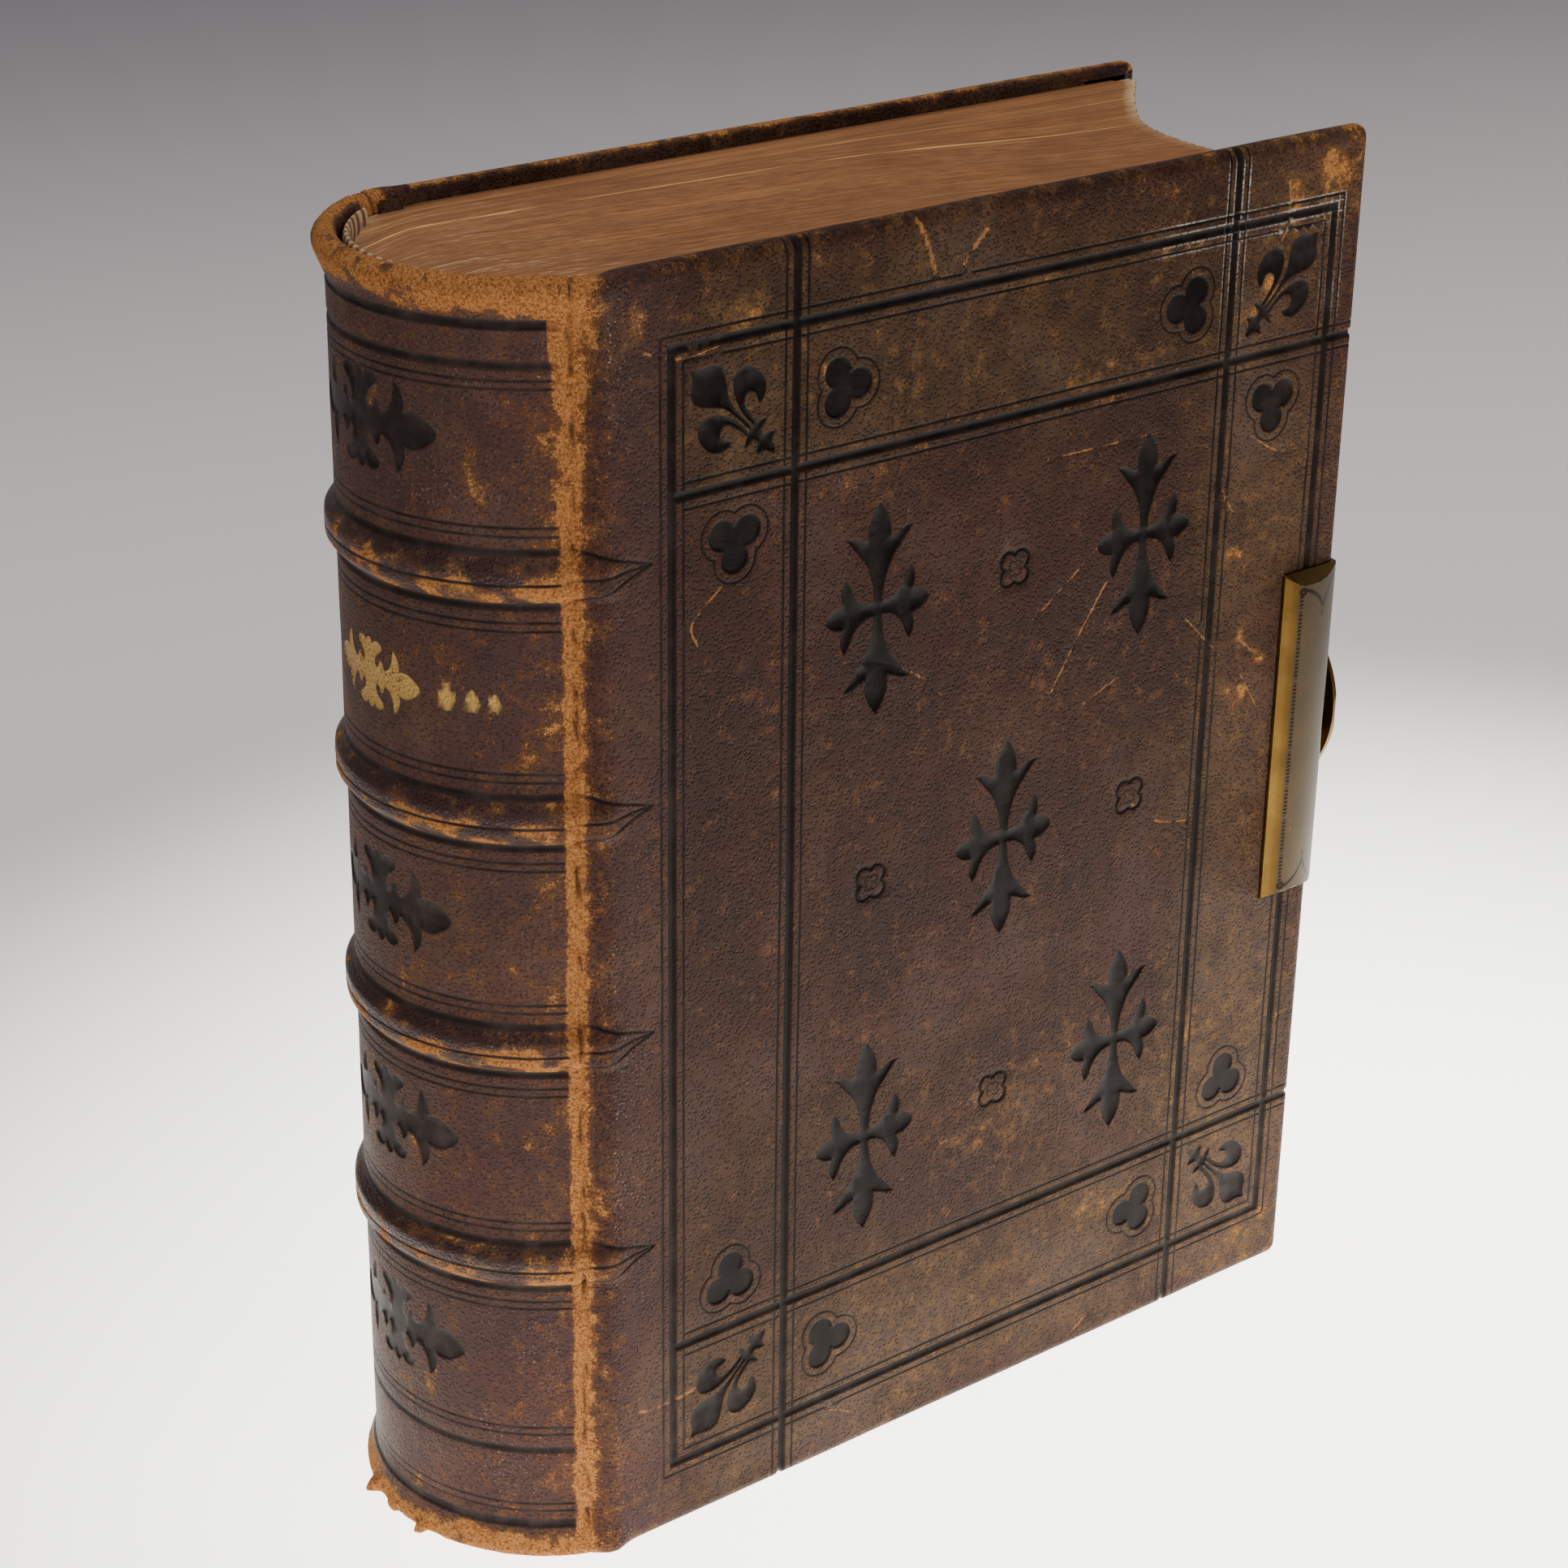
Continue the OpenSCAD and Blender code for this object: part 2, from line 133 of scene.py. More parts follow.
def wobble(points, scale, seed=0.0, octaves=3):
    """Smooth noise from about -1 to 1 at each point, one wave about scale long."""
    shift = Vector((seed, seed * 0.7, -seed))
    return np.array([noise.fractal(Vector(p) / scale + shift, 1.0, 2.0, octaves)
                     for p in np.asarray(points, float)])


# ---------------------------------------------------------------- camera, lights, floor

def add_camera():
    data = bpy.data.cameras.new("camera")
    data.sensor_width = 36
    data.lens = 78.17
    data.clip_start, data.clip_end = 0.05, 30
    cam = bpy.data.objects.new("camera", data)
    cam.location = (-0.4849, -0.5964, 0.5128)
    cam.rotation_euler = [math.radians(a) for a in (65.399, -0.691, -37.767)]
    bpy.context.collection.objects.link(cam)
    bpy.context.scene.camera = cam


def add_area(name, place, aim, size, power, colour=(1, 1, 1)):
    data = bpy.data.lights.new(name, "AREA")
    data.shape = "RECTANGLE"
    data.size, data.size_y = size
    data.energy = power
    data.color = colour
    lamp = bpy.data.objects.new(name, data)
    lamp.location = place
    lamp.rotation_mode = "QUATERNION"
    lamp.rotation_quaternion = (Vector(aim) - Vector(place)).to_track_quat("-Z", "Y")
    bpy.context.collection.objects.link(lamp)


add_camera()
add_area("key", (0.1, -1.5, 1.5), (0, 0, 0.12), (1.2, 0.9), 20)
add_area("left", (-1.7, -0.3, 1.0), (0, 0, 0.16), (0.9, 1.2), 10)
add_area("top", (0.1, 0.2, 1.9), (0, 0, 0.1), (1.6, 1.6), 14)


# ---------------------------------------------------------------- node helpers

class Nodes:
    """Short names for building one material's nodes."""

    def __init__(self, name):
        self.mat = bpy.data.materials.new(name)
        self.mat.use_nodes = True
        self.tree = self.mat.node_tree
        self.bsdf = self.tree.nodes["Principled BSDF"]

    def new(self, kind, **settings):
        node = self.tree.nodes.new(kind)
        for key, value in settings.items():
            setattr(node, key, value)
        return node

    def plug(self, socket, value):
        if isinstance(value, (int, float)):
            socket.default_value = value
        elif isinstance(value, tuple):
            socket.default_value = value if len(value) == len(socket.default_value) else (*value, 1)
        else:
            self.tree.links.new(value, socket)

    def attribute(self, name, output="Fac"):
        return self.new("ShaderNodeAttribute", attribute_name=name).outputs[output]

    def rest(self):
        return self.attribute("rest", "Vector")

    def scaled(self, vector, factors):
        node = self.new("ShaderNodeMapping")
        self.plug(node.inputs["Vector"], vector)
        node.inputs["Scale"].default_value = factors
        return node.outputs["Vector"]

    def noise(self, vector, scale, detail=4.0, rough=0.55, distortion=0.0):
        node = self.new("ShaderNodeTexNoise")
        self.plug(node.inputs["Vector"], vector)
        self.plug(node.inputs["Scale"], scale)
        self.plug(node.inputs["Detail"], detail)
        self.plug(node.inputs["Roughness"], rough)
        self.plug(node.inputs["Distortion"], distortion)
        return node.outputs["Fac"]

    def cells(self, vector, scale, feature="F1", output="Distance"):
        node = self.new("ShaderNodeTexVoronoi", feature=feature)
        self.plug(node.inputs["Vector"], vector)
        self.plug(node.inputs["Scale"], scale)
        return node.outputs[output]

    def math(self, operation, a, b=0.0, c=0.0, clamp=False):
        node = self.new("ShaderNodeMath", operation=operation, use_clamp=clamp)
        for socket, value in zip(node.inputs, (a, b, c)):
            self.plug(socket, value)
        return node.outputs[0]

    def times(self, a, b):
        return self.math("MULTIPLY", a, b)

    def centred(self, value, factor, base):
        """base plus factor times how far value is from a half."""
        return self.math("MULTIPLY_ADD", self.math("SUBTRACT", value, 0.5), factor, base)

    def ramp(self, value, low, high, out_low=0.0, out_high=1.0):
        node = self.new("ShaderNodeMapRange", interpolation_type="SMOOTHSTEP")
        for socket, v in zip(node.inputs, (value, low, high, out_low, out_high)):
            self.plug(socket, v)
        return node.outputs[0]

    def mix(self, factor, a, b):
        node = self.new("ShaderNodeMix", data_type="RGBA")
        self.plug(node.inputs["Factor"], factor)
        self.plug(node.inputs["A"], a)
        self.plug(node.inputs["B"], b)
        return node.outputs["Result"]

    def tint(self, base, colour, amount, strength):
        """base with a colour laid over it, as far as amount times strength."""
        return self.mix(self.times(amount, strength), base, colour)

    def blend(self, factor, a, b):
        node = self.new("ShaderNodeMix", data_type="FLOAT")
        for key, value in (("Factor", factor), ("A", a), ("B", b)):
            self.plug(node.inputs[key], value)
        return node.outputs["Result"]

    def brighter(self, colour, factor):
        node = self.new("ShaderNodeHueSaturation")
        self.plug(node.inputs["Color"], colour)
        self.plug(node.inputs["Value"], factor)
        return node.outputs["Color"]

    def bump(self, height, distance, strength=1.0):
        node = self.new("ShaderNodeBump")
        self.plug(node.inputs["Height"], height)
        node.inputs["Distance"].default_value = distance
        node.inputs["Strength"].default_value = strength
        self.tree.links.new(node.outputs["Normal"], self.bsdf.inputs["Normal"])

    def set(self, **values):
        for key, value in values.items():
            self.plug(self.bsdf.inputs[key.replace("_", " ")], value)
        return self.mat


# ---------------------------------------------------------------- materials

def leather_grain(m):
    """The noises that the leather's layers share."""
    rest = m.rest()
    return SimpleNamespace(
        large=m.noise(rest, 0.022, 5, 0.6), middle=m.noise(rest, 0.11, 6, 0.62),
        islands=m.noise(rest, 0.21, 10, 0.70), fine=m.noise(rest, 1.3, 5, 0.68),
        dots=m.noise(rest, 2.6, 2, 0.5), pits=m.ramp(m.cells(rest, 1.05), 0.10, 0.55, 1.0, 0.0),
        specks=m.ramp(m.noise(rest, 2.1, 3, 0.6), 0.60, 0.68),
        flecks=m.ramp(m.noise(rest, 1.7, 3, 0.7), 0.60, 0.70))


def leather_ground(m, g, a):
    """Three browns: purple-brown, red-brown and olive, each darker in the pits of the grain, with a
    wax bloom partly painted as sheen, painted highlights on the grain, and painted light where pale.
    """
    dark = m.mix(m.ramp(g.large, 0.40, 0.62), (0.0235, 0.0095, 0.0072), (0.0320, 0.0094, 0.0040))
    dark = m.tint(dark, (0.0125, 0.0052, 0.0042), m.ramp(g.middle, 0.50, 0.30), 0.6)
    faded = m.mix(m.ramp(g.middle, 0.35, 0.65), (0.030, 0.0155, 0.0070), (0.055, 0.0285, 0.0115))
    dark = m.tint(dark, faded, a.olive, m.ramp(g.large, 0.32, 0.58, 0.35, 1.0))
    # wax bloom and painted sheen: a grey-purple cast laid over the grain
    bloom_and_sheen = m.ramp(m.math("MULTIPLY_ADD", g.fine, 0.35, g.large), 0.66, 0.82)
    dark = m.tint(dark, (0.052, 0.033, 0.030), bloom_and_sheen, 0.38)
    dark = m.tint(dark, (0.0070, 0.0030, 0.0024), g.pits, 0.72)
    # painted highlights: light brown laid on the grain's raised noise
    dark = m.tint(dark, (0.080, 0.039, 0.019), m.ramp(g.fine, 0.56, 0.72), 0.35)
    # painted light: where pale is set the browns are greyed and lightened
    dark = m.tint(dark, (0.036, 0.025, 0.026), a.pale, 0.30)
    dark = m.brighter(dark, m.math("MULTIPLY_ADD", a.pale, 0.9, 0.94))
    return m.mix(a.polish, dark, (0.022, 0.0048, 0.0026))


def leather_rubbing(m, g, a, clear, colour):
    """Rubs the colour to brown, tan and suede, and returns it with how far it is rubbed through."""
    score = m.centred(g.dots, 0.55, m.centred(g.islands, 2.5, a.wear))
    score = m.math("MULTIPLY_ADD", g.pits, -0.10, score)
    brown = m.times(m.ramp(score, 0.12, 0.52), m.times(clear, 0.62))
    rubbed = m.times(m.ramp(score, 0.50, 0.74), clear)
    tan = m.mix(m.ramp(g.fine, 0.35, 0.7), (0.150, 0.062, 0.018), (0.370, 0.172, 0.056))
    nap = m.math("MULTIPLY_ADD", g.dots, 0.4, g.fine)
    suede = m.mix(m.ramp(nap, 0.50, 0.86), (0.125, 0.043, 0.0110), (0.330, 0.138, 0.044))
    colour = m.mix(brown, colour, m.mix(a.olive, (0.088, 0.034, 0.0125), (0.098, 0.050, 0.0170)))
    halo = m.times(m.ramp(a.wear, 0.30, 0.95), m.times(clear, 0.75))
    colour = m.mix(halo, colour, (0.110, 0.038, 0.0105))
    colour = m.mix(rubbed, colour, m.mix(m.ramp(a.wear, 0.55, 0.85), tan, suede))
    specks = m.times(g.specks, m.ramp(score, 0.05, 0.45, 0.10, 0.80))
    return m.tint(colour, (0.230, 0.108, 0.036), specks, clear), rubbed


def leather_marks(m, g, a, clear, colour):
    """Scratches, pale flecks (partly painted glints), blackened tooling, wax and gilt. Returns the colour
    and the gilt.
    """
    broken = m.times(a.mark, m.ramp(g.middle, 0.36, 0.58, 0.45, 1.0))
    line = m.centred(g.dots, 0.9, m.centred(g.islands, 1.7, broken))
    colour = m.tint(colour, (0.250, 0.108, 0.032), m.ramp(line, 0.55, 0.90), 0.75)
    # pale flecks in the grain, partly painted glints
    flecks = m.times(g.flecks, m.blend(a.frost, 0.10, 0.62))
    colour = m.tint(colour, (0.34, 0.30, 0.27), flecks, clear)
    black = m.mix(m.ramp(g.middle, 0.4, 0.7), (0.0050, 0.0034, 0.0030), (0.0130, 0.0092, 0.0085))
    # the tooling's black is lightened where pale, as painted light
    black = m.brighter(black, m.math("MULTIPLY_ADD", a.pale, 2.2, 0.8))
    colour = m.mix(a.tool, colour, black)
    colour = m.tint(colour, (0.40, 0.37, 0.33), a.wax, m.ramp(g.fine, 0.36, 0.60))
    gold = m.times(a.gilt, m.ramp(m.math("MULTIPLY_ADD", g.middle, 0.6, g.fine), 0.60, 0.78))
    return m.mix(gold, colour, (0.36, 0.215, 0.060)), gold


def leather_material():
    """Dark grained calf, rubbed to tan and then to suede. Attributes say where it is tooled, gilt,
    rubbed, polished, scratched (mark), faded to olive, lightened as painted light (pale), flecked
    with pale flecks that are partly painted glints (frost), and where old wax has stayed in it."""
    m = Nodes("leather")
    names = ("tool", "wear", "gilt", "polish", "mark", "wax", "olive", "frost", "pale")
    a = SimpleNamespace(**{name: m.attribute(name) for name in names})
    g = leather_grain(m)
    clear = m.math("SUBTRACT", 1.0, m.times(a.tool, 0.95))
    colour, rubbed = leather_rubbing(m, g, a, clear, leather_ground(m, g, a))
    colour, gold = leather_marks(m, g, a, clear, colour)

    rough = m.blend(rubbed, m.ramp(g.fine, 0.3, 0.7, 0.36, 0.54), 0.88)
    rough = m.blend(a.tool, rough, m.ramp(g.middle, 0.3, 0.7, 0.32, 0.44))
    rough = m.blend(a.polish, rough, 0.30)
    shine = m.blend(rubbed, m.blend(a.polish, 0.042, 0.20), 0.02)
    shine = m.blend(a.tool, shine, 0.036)
    level = m.math("SUBTRACT", 1.0, m.times(a.tool, 0.9), clamp=True)
    height = m.math("MULTIPLY_ADD", g.pits, -0.16, m.times(g.fine, 0.22))
    height = m.math("MULTIPLY_ADD", rubbed, -0.05, height)
    height = m.math("ADD", m.times(height, level), m.times(g.dots, 0.03))
    m.bump(height, 0.0011)
    return m.set(Base_Color=colour, Roughness=rough, Metallic=m.times(gold, 0.6),
                 Specular_IOR_Level=shine)


def leaf_edge_material():
    """Gilt, burnished edge of the closed leaves. leaf is a leaf's place across the block in mm, age
    where the gilt has gone from the paper, torn where leaves are chipped to white."""
    m = Nodes("gilt_edge")
    rest = m.rest()
    leaf, bright, age, torn = (m.attribute(k) for k in ("leaf", "bright", "age", "torn"))
    along = m.new("ShaderNodeSeparateXYZ")
    m.plug(along.inputs[0], rest)

    def lines(pitch, reach, detail=3, rough=0.6):
        place = m.new("ShaderNodeCombineXYZ")
        m.plug(place.inputs[0], m.times(leaf, pitch))
        m.plug(place.inputs[1], m.times(along.outputs[0], reach))
        m.plug(place.inputs[2], m.times(along.outputs[2], reach))
        return m.noise(place.outputs[0], 1.0, detail, rough)

    leaves = lines(3.6, 0.010)
    gatherings = lines(0.55, 0.008)
    scuffs = lines(2.6, 0.075, 2)
    chips = lines(3.4, 0.075, 3, 0.6)
    cloud = m.noise(rest, 0.035, 5, 0.6)
    colour = m.mix(m.ramp(leaves, 0.32, 0.68), (0.135, 0.047, 0.0125), (0.300, 0.124, 0.040))
    colour = m.tint(colour, (0.36, 0.17, 0.062), m.ramp(gatherings, 0.52, 0.66), 0.30)
    colour = m.tint(colour, (0.150, 0.060, 0.019), m.ramp(cloud, 0.42, 0.66), 0.55)
    colour = m.tint(colour, (0.52, 0.32, 0.15), m.ramp(scuffs, 0.69, 0.76), 0.42)
    colour = m.mix(age, colour, m.mix(m.ramp(leaves, 0.3, 0.7), (0.36, 0.22, 0.10), (0.66, 0.50, 0.29)))
    colour = m.tint(colour, (0.50, 0.33, 0.19), torn, m.ramp(chips, 0.57, 0.66))
    colour = m.mix(bright, colour, (0.74, 0.38, 0.13))
    m.bump(m.math("MULTIPLY_ADD", gatherings, 0.6, leaves), 0.00022)
    return m.set(Base_Color=colour, Roughness=m.ramp(leaves, 0.3, 0.7, 0.42, 0.60), Metallic=0.25,
                 Specular_IOR_Level=0.25)


def brass_material():
    """Old lacquered brass: yellow on its bevels, a dull film on flat show faces (film), coppery
    inside (patina), and dark in its cut lines and in painted shade along the bevel's crease (cut)."""
    m = Nodes("brass")
    rest = m.rest()
    film, patina, cut = m.attribute("film"), m.attribute("patina"), m.attribute("cut")
    cloud = m.noise(rest, 0.07, 4, 0.55)
    fine = m.noise(m.scaled(rest, (1.0, 1.0, 0.25)), 2.2, 4, 0.6)
    spots = m.noise(rest, 0.45, 3, 0.6)
    patch = m.ramp(cloud, 0.35, 0.7)
    yellow = m.mix(patch, (0.130, 0.073, 0.0175), (0.088, 0.049, 0.0130))
    dull = m.mix(patch, (0.056, 0.0385, 0.0205), (0.042, 0.0305, 0.0180))
    copper = m.mix(m.ramp(cloud, 0.4, 0.6), (0.230, 0.078, 0.024), (0.380, 0.135, 0.042))
    colour = m.mix(film, yellow, dull)
    colour = m.tint(colour, (0.22, 0.060, 0.025), m.ramp(spots, 0.66, 0.75), m.blend(film, 0.25, 0.7))
    colour = m.tint(colour, (0.20, 0.12, 0.04), m.ramp(fine, 0.6, 0.8), 0.3)
    colour = m.mix(patina, colour, copper)
    # cut darkens the engraved lines, and paints shade in the crease between bevel and dome
    colour = m.tint(colour, (0.0085, 0.0050, 0.0030), cut, 0.95)
    m.bump(m.math("ADD", fine, m.times(spots, 0.5)), 0.00003)
    rough = m.blend(film, m.ramp(fine, 0.3, 0.7, 0.27, 0.38), 0.44)
    return m.set(Base_Color=colour, Roughness=m.blend(patina, rough, 0.55),
                 Metallic=m.math("MULTIPLY_ADD", patina, -0.6, 1.0))


def paper_material(name, colour_a, colour_b, spots=0.3, edge=False):
    """Old paper with foxing; edge gives sheets the gilt of the block's head and tail."""
    m = Nodes(name)
    rest = m.rest()
    cloud = m.noise(rest, 0.014, 5, 0.6)
    fibre = m.noise(m.scaled(rest, (1.0, 1.0, 0.4)), 0.9, 4, 0.6)
    fox = m.ramp(m.noise(rest, 0.11, 3, 0.5), 0.66, 0.74)
    colour = m.mix(m.ramp(cloud, 0.35, 0.7), colour_a, colour_b)
    colour = m.tint(colour, (0.42, 0.25, 0.11), fox, spots)
    colour = m.tint(colour, (0.5, 0.4, 0.28), fibre, 0.12)
    if edge:
        place = m.new("ShaderNodeSeparateXYZ")
        m.plug(place.inputs[0], rest)
        out = m.math("ABSOLUTE", m.math("SUBTRACT", place.outputs[2], BOOK_H / 2))
        colour = m.mix(m.ramp(out, BOOK_H / 2 - 5.5, BOOK_H / 2 - 4.2), colour, (0.16, 0.065, 0.022))
    m.bump(fibre, 0.00005)
    return m.set(Base_Color=colour, Roughness=m.ramp(fibre, 0.3, 0.7, 0.75, 0.9),
                 Specular_IOR_Level=0.2)


def cord_material(name, light, dark, pitch):
    """Twisted or woven thread."""
    m = Nodes(name)
    place = m.new("ShaderNodeTexCoord").outputs["Object"]
    twist = m.new("ShaderNodeTexWave", bands_direction="DIAGONAL")
    m.plug(twist.inputs["Vector"], place)
    m.plug(twist.inputs["Scale"], pitch)
    m.plug(twist.inputs["Distortion"], 1.5)
    fuzz = m.noise(place, 1600, 3, 0.6)
    colour = m.mix(m.ramp(twist.outputs["Fac"], 0.2, 0.8), dark, light)
    m.bump(m.math("ADD", twist.outputs["Fac"], fuzz), 0.0001)
    return m.set(Base_Color=m.tint(colour, dark, fuzz, 0.3), Roughness=0.85)


def endband_material():
    """Silk in two colours, dark where stripe is 1, and dirty in patches."""
    m = Nodes("endband_silk")
    stripe = m.attribute("stripe")
    rest = m.rest()
    dirt = m.noise(rest, 0.6, 4, 0.6)
    thread = m.noise(m.scaled(rest, (1, 1, 3.0)), 2.5, 3, 0.6)
    colour = m.mix(m.ramp(stripe, 0.35, 0.65), (0.42, 0.27, 0.13), (0.13, 0.040, 0.014))
    colour = m.tint(colour, (0.10, 0.048, 0.020), m.ramp(dirt, 0.4, 0.75), 0.55)
    m.bump(thread, 0.0002)
    return m.set(Base_Color=colour, Roughness=m.ramp(thread, 0.3, 0.7, 0.6, 0.8))


def floor_material():
    """Pale paper sweep with painted light: bright under the book, darker into the distance, glowing round
    it.
    """
    m = Nodes("studio_floor")
    place = m.new("ShaderNodeTexCoord").outputs["Object"]
    parts = m.new("ShaderNodeSeparateXYZ")
    m.plug(parts.inputs[0], place)
    # painted light falloff: the floor's colour darkens with distance towards the back
    away = m.math("ADD", m.times(parts.outputs[0], 0.18), m.times(parts.outputs[1], 0.95))
    soft = m.noise(place, 1.1, 2, 0.5)
    away = m.math("ADD", away, m.times(m.math("SUBTRACT", soft, 0.5), 0.08))
    colour = m.mix(m.ramp(away, 0.08, 1.85), (0.88, 0.81, 0.785), (0.33, 0.295, 0.315))
    # painted glow: the floor emits light round the book though it is no lamp, strongest under it
    middle = m.new("ShaderNodeVectorMath", operation="DISTANCE")
    m.plug(middle.inputs[0], place)
    middle.inputs[1].default_value = (0.09, -0.12, 0.0)
    painted_glow = m.ramp(middle.outputs["Value"], 0.56, 0.14, 0.0, 5.0)
    m.plug(m.bsdf.inputs["Emission Color"], (1.0, 0.985, 0.91))
    return m.set(Base_Color=colour, Roughness=0.85, Specular_IOR_Level=0.2, Emission_Strength=painted_glow)


MATERIALS = {
    "leather": leather_material(),
    "edge": leaf_edge_material(),
    "brass": brass_material(),
    "paper": paper_material("paper", (0.62, 0.50, 0.33), (0.70, 0.58, 0.41), 0.3, True),
    "endpaper": paper_material("endpaper", (0.56, 0.44, 0.27), (0.65, 0.53, 0.36), 0.45, True),
    "board": paper_material("millboard", (0.30, 0.23, 0.15), (0.38, 0.30, 0.20), 0.6),
    "kraft": paper_material("kraft", (0.28, 0.19, 0.10), (0.35, 0.25, 0.14)),
    "linen": cord_material("linen", (0.55, 0.50, 0.40), (0.40, 0.35, 0.26), 900),
    "hemp": cord_material("hemp", (0.52, 0.43, 0.29), (0.33, 0.25, 0.15), 700),
    "silk": endband_material(),
}


def add_floor():
    mesh = bpy.data.meshes.new("floor")
    n, reach = 96, 9.0
    ring = [(reach * math.cos(2 * math.pi * i / n), reach * math.sin(2 * math.pi * i / n), 0)
            for i in range(n)]
    mesh.from_pydata(ring, [], [list(range(n))])
    mesh.materials.append(floor_material())
    floor = bpy.data.objects.new("floor", mesh)
    bpy.context.collection.objects.link(floor)


def set_world():
    sky = bpy.data.worlds.new("studio")
    sky.use_nodes = True
    back = sky.node_tree.nodes["Background"]
    back.inputs["Color"].default_value = (0.80, 0.81, 0.83, 1)
    back.inputs["Strength"].default_value = 0.40
    bpy.context.scene.world = sky


add_floor()
set_world()


# ---------------------------------------------------------------- meshes

def write_attribute(mesh, name, values):
    """A value or a vector at each of a mesh's points, for its material to read."""
    values = np.asarray(values, np.float32)
    kind, key = ("FLOAT_VECTOR", "vector") if values.ndim == 2 else ("FLOAT", "value")
    mesh.attributes.new(name, kind, "POINT").data.foreach_set(key, values.ravel())


def add_piece(name, points, faces, material, attributes=None, crease=None):
    """A mesh piece from book millimetres, with a rest attribute that holds them. Edges bent more
    than crease degrees stay sharp."""
    points = np.asarray(points, float)
    mesh = bpy.data.meshes.new(name)
    mesh.from_pydata(world(points).tolist(), [], [list(map(int, f)) for f in faces])
    mesh.validate()
    write_attribute(mesh, "rest", points)
    for key, values in (attributes or {}).items():
        write_attribute(mesh, key, values)
    mesh.shade_smooth()
    if crease:
        mesh.set_sharp_from_angle(angle=math.radians(crease))
    mesh.materials.append(MATERIALS[material])
    piece = bpy.data.objects.new(name, mesh)
    bpy.context.collection.objects.link(piece)
    return piece


def grid_faces(rows, columns, closed=False):
    """Quads of a grid whose points run row by row; closed joins its last column to its first."""
    faces = []
    for i in range(rows - 1):
        for j in range(columns if closed else columns - 1):
            k = (j + 1) % columns
            faces.append((i * columns + j, i * columns + k,
                          (i + 1) * columns + k, (i + 1) * columns + j))
    return faces


def triangulate(points):
    """Delaunay triangles of scattered points in the plane."""
    points = np.unique(np.round(points, 3), axis=0)
    made = delaunay_2d_cdt([tuple(p) for p in points], [], [], 0, 1e-5)
    return np.array([tuple(v) for v in made[0]]), made[2]


# ---------------------------------------------------------------- tooling

def runs(*curves):
    """An outline joined from smooth curves that meet at corners."""
    return np.vstack([spline(c, 0.5)[:-1] for c in curves])


def four_way(quarter):
    """A closed outline from its part in the first quadrant, which runs from the z axis to x."""
    q = np.asarray(quarter)
    return np.vstack([q, (q * (1, -1))[::-1], q * (-1, -1), (q * (-1, 1))[::-1]])


def two_way(half):
    """A closed outline from its right half, which runs from top to bottom."""
    h = np.asarray(half)
    return np.vstack([h, (h * (-1, 1))[::-1]])


CROSS = four_way(runs(
    [(0, 26.0), (1.9, 23.2), (3.1, 20.1), (3.2, 16.7)],
    [(3.2, 16.7), (5.0, 17.3), (7.4, 18.4), (9.8, 18.6)],
    [(9.8, 18.6), (8.6, 17.5), (6.5, 15.0), (4.1, 12.2), (2.7, 9.4), (1.7, 6.3), (1.2, 3.2),
     (1.15, 1.4)],
    [(1.15, 1.4), (3.4, 1.7), (5.6, 2.9), (7.2, 4.8), (8.4, 7.5), (9.5, 9.1)],
    [(9.5, 9.1), (10.5, 7.2), (10.6, 5.1), (10.1, 2.9)],
    [(10.1, 2.9), (12.2, 2.6), (14.1, 1.5), (15.3, 0)]))

FLEUR = two_way(runs(
    [(0, 16.1), (1.5, 14.1), (3.9, 12.2), (4.8, 10.3), (4.4, 8.2), (3.1, 6.0), (1.5, 3.6),
     (0.75, 1.2), (0.42, -2.0), (0.4, -6.4)],
    [(0.4, -6.4), (0.7, -6.7), (1.0, -6.4)],
    [(1.0, -6.4), (1.1, -2.9), (2.1, 1.2), (3.6, 3.9), (5.4, 5.4), (7.0, 5.6), (8.7, 4.9),
     (9.9, 3.1), (10.3, 0.6), (9.8, -1.9), (8.5, -3.5), (6.7, -4.5), (5.4, -4.4)],
    [(5.4, -4.4), (5.6, -3.4), (6.3, -2.1), (6.1, -0.9), (5.1, -0.1), (3.9, -0.1), (2.9, -1.0),
     (2.35, -2.6), (2.0, -5.2), (2.0, -7.2)],
    [(2.0, -7.2), (3.0, -7.6), (4.3, -8.4)], [(4.3, -8.4), (3.0, -8.8), (1.4, -8.8)],
    [(1.4, -8.8), (1.0, -9.8), (1.2, -10.6)], [(1.2, -10.6), (2.3, -11.3), (3.4, -12.4)],
    [(3.4, -12.4), (2.0, -12.8), (1.2, -13.3)], [(1.2, -13.3), (0.7, -14.8), (0, -16.1)]))

SCROLL = four_way(runs(
    [(0, 11.6), (1.0, 11.0), (1.7, 9.7)],
    [(1.7, 9.7), (3.0, 10.9), (4.8, 11.0), (6.2, 10.2), (6.5, 8.9), (5.6, 8.0), (4.2, 7.0),
     (3.2, 5.6), (2.9, 4.0), (3.6, 2.4)],
    [(3.6, 2.4), (4.7, 3.4), (5.7, 5.3)], [(5.7, 5.3), (6.7, 4.6), (7.1, 3.2), (7.7, 2.5)],
    [(7.7, 2.5), (9.6, 3.6), (10.9, 5.6), (11.5, 8.0), (11.9, 10.2)],
    [(11.9, 10.2), (13.2, 8.8), (14.1, 6.6), (14.3, 4.8), (13.9, 3.6)],
    [(13.9, 3.6), (15.6, 4.15), (18.0, 3.9), (20.4, 2.5), (21.9, 1.2), (22.6, 0)]))

LOZENGE = np.array([(0, 3.2), (2.0, 0), (0, -3.2), (-2.0, 0)], float)


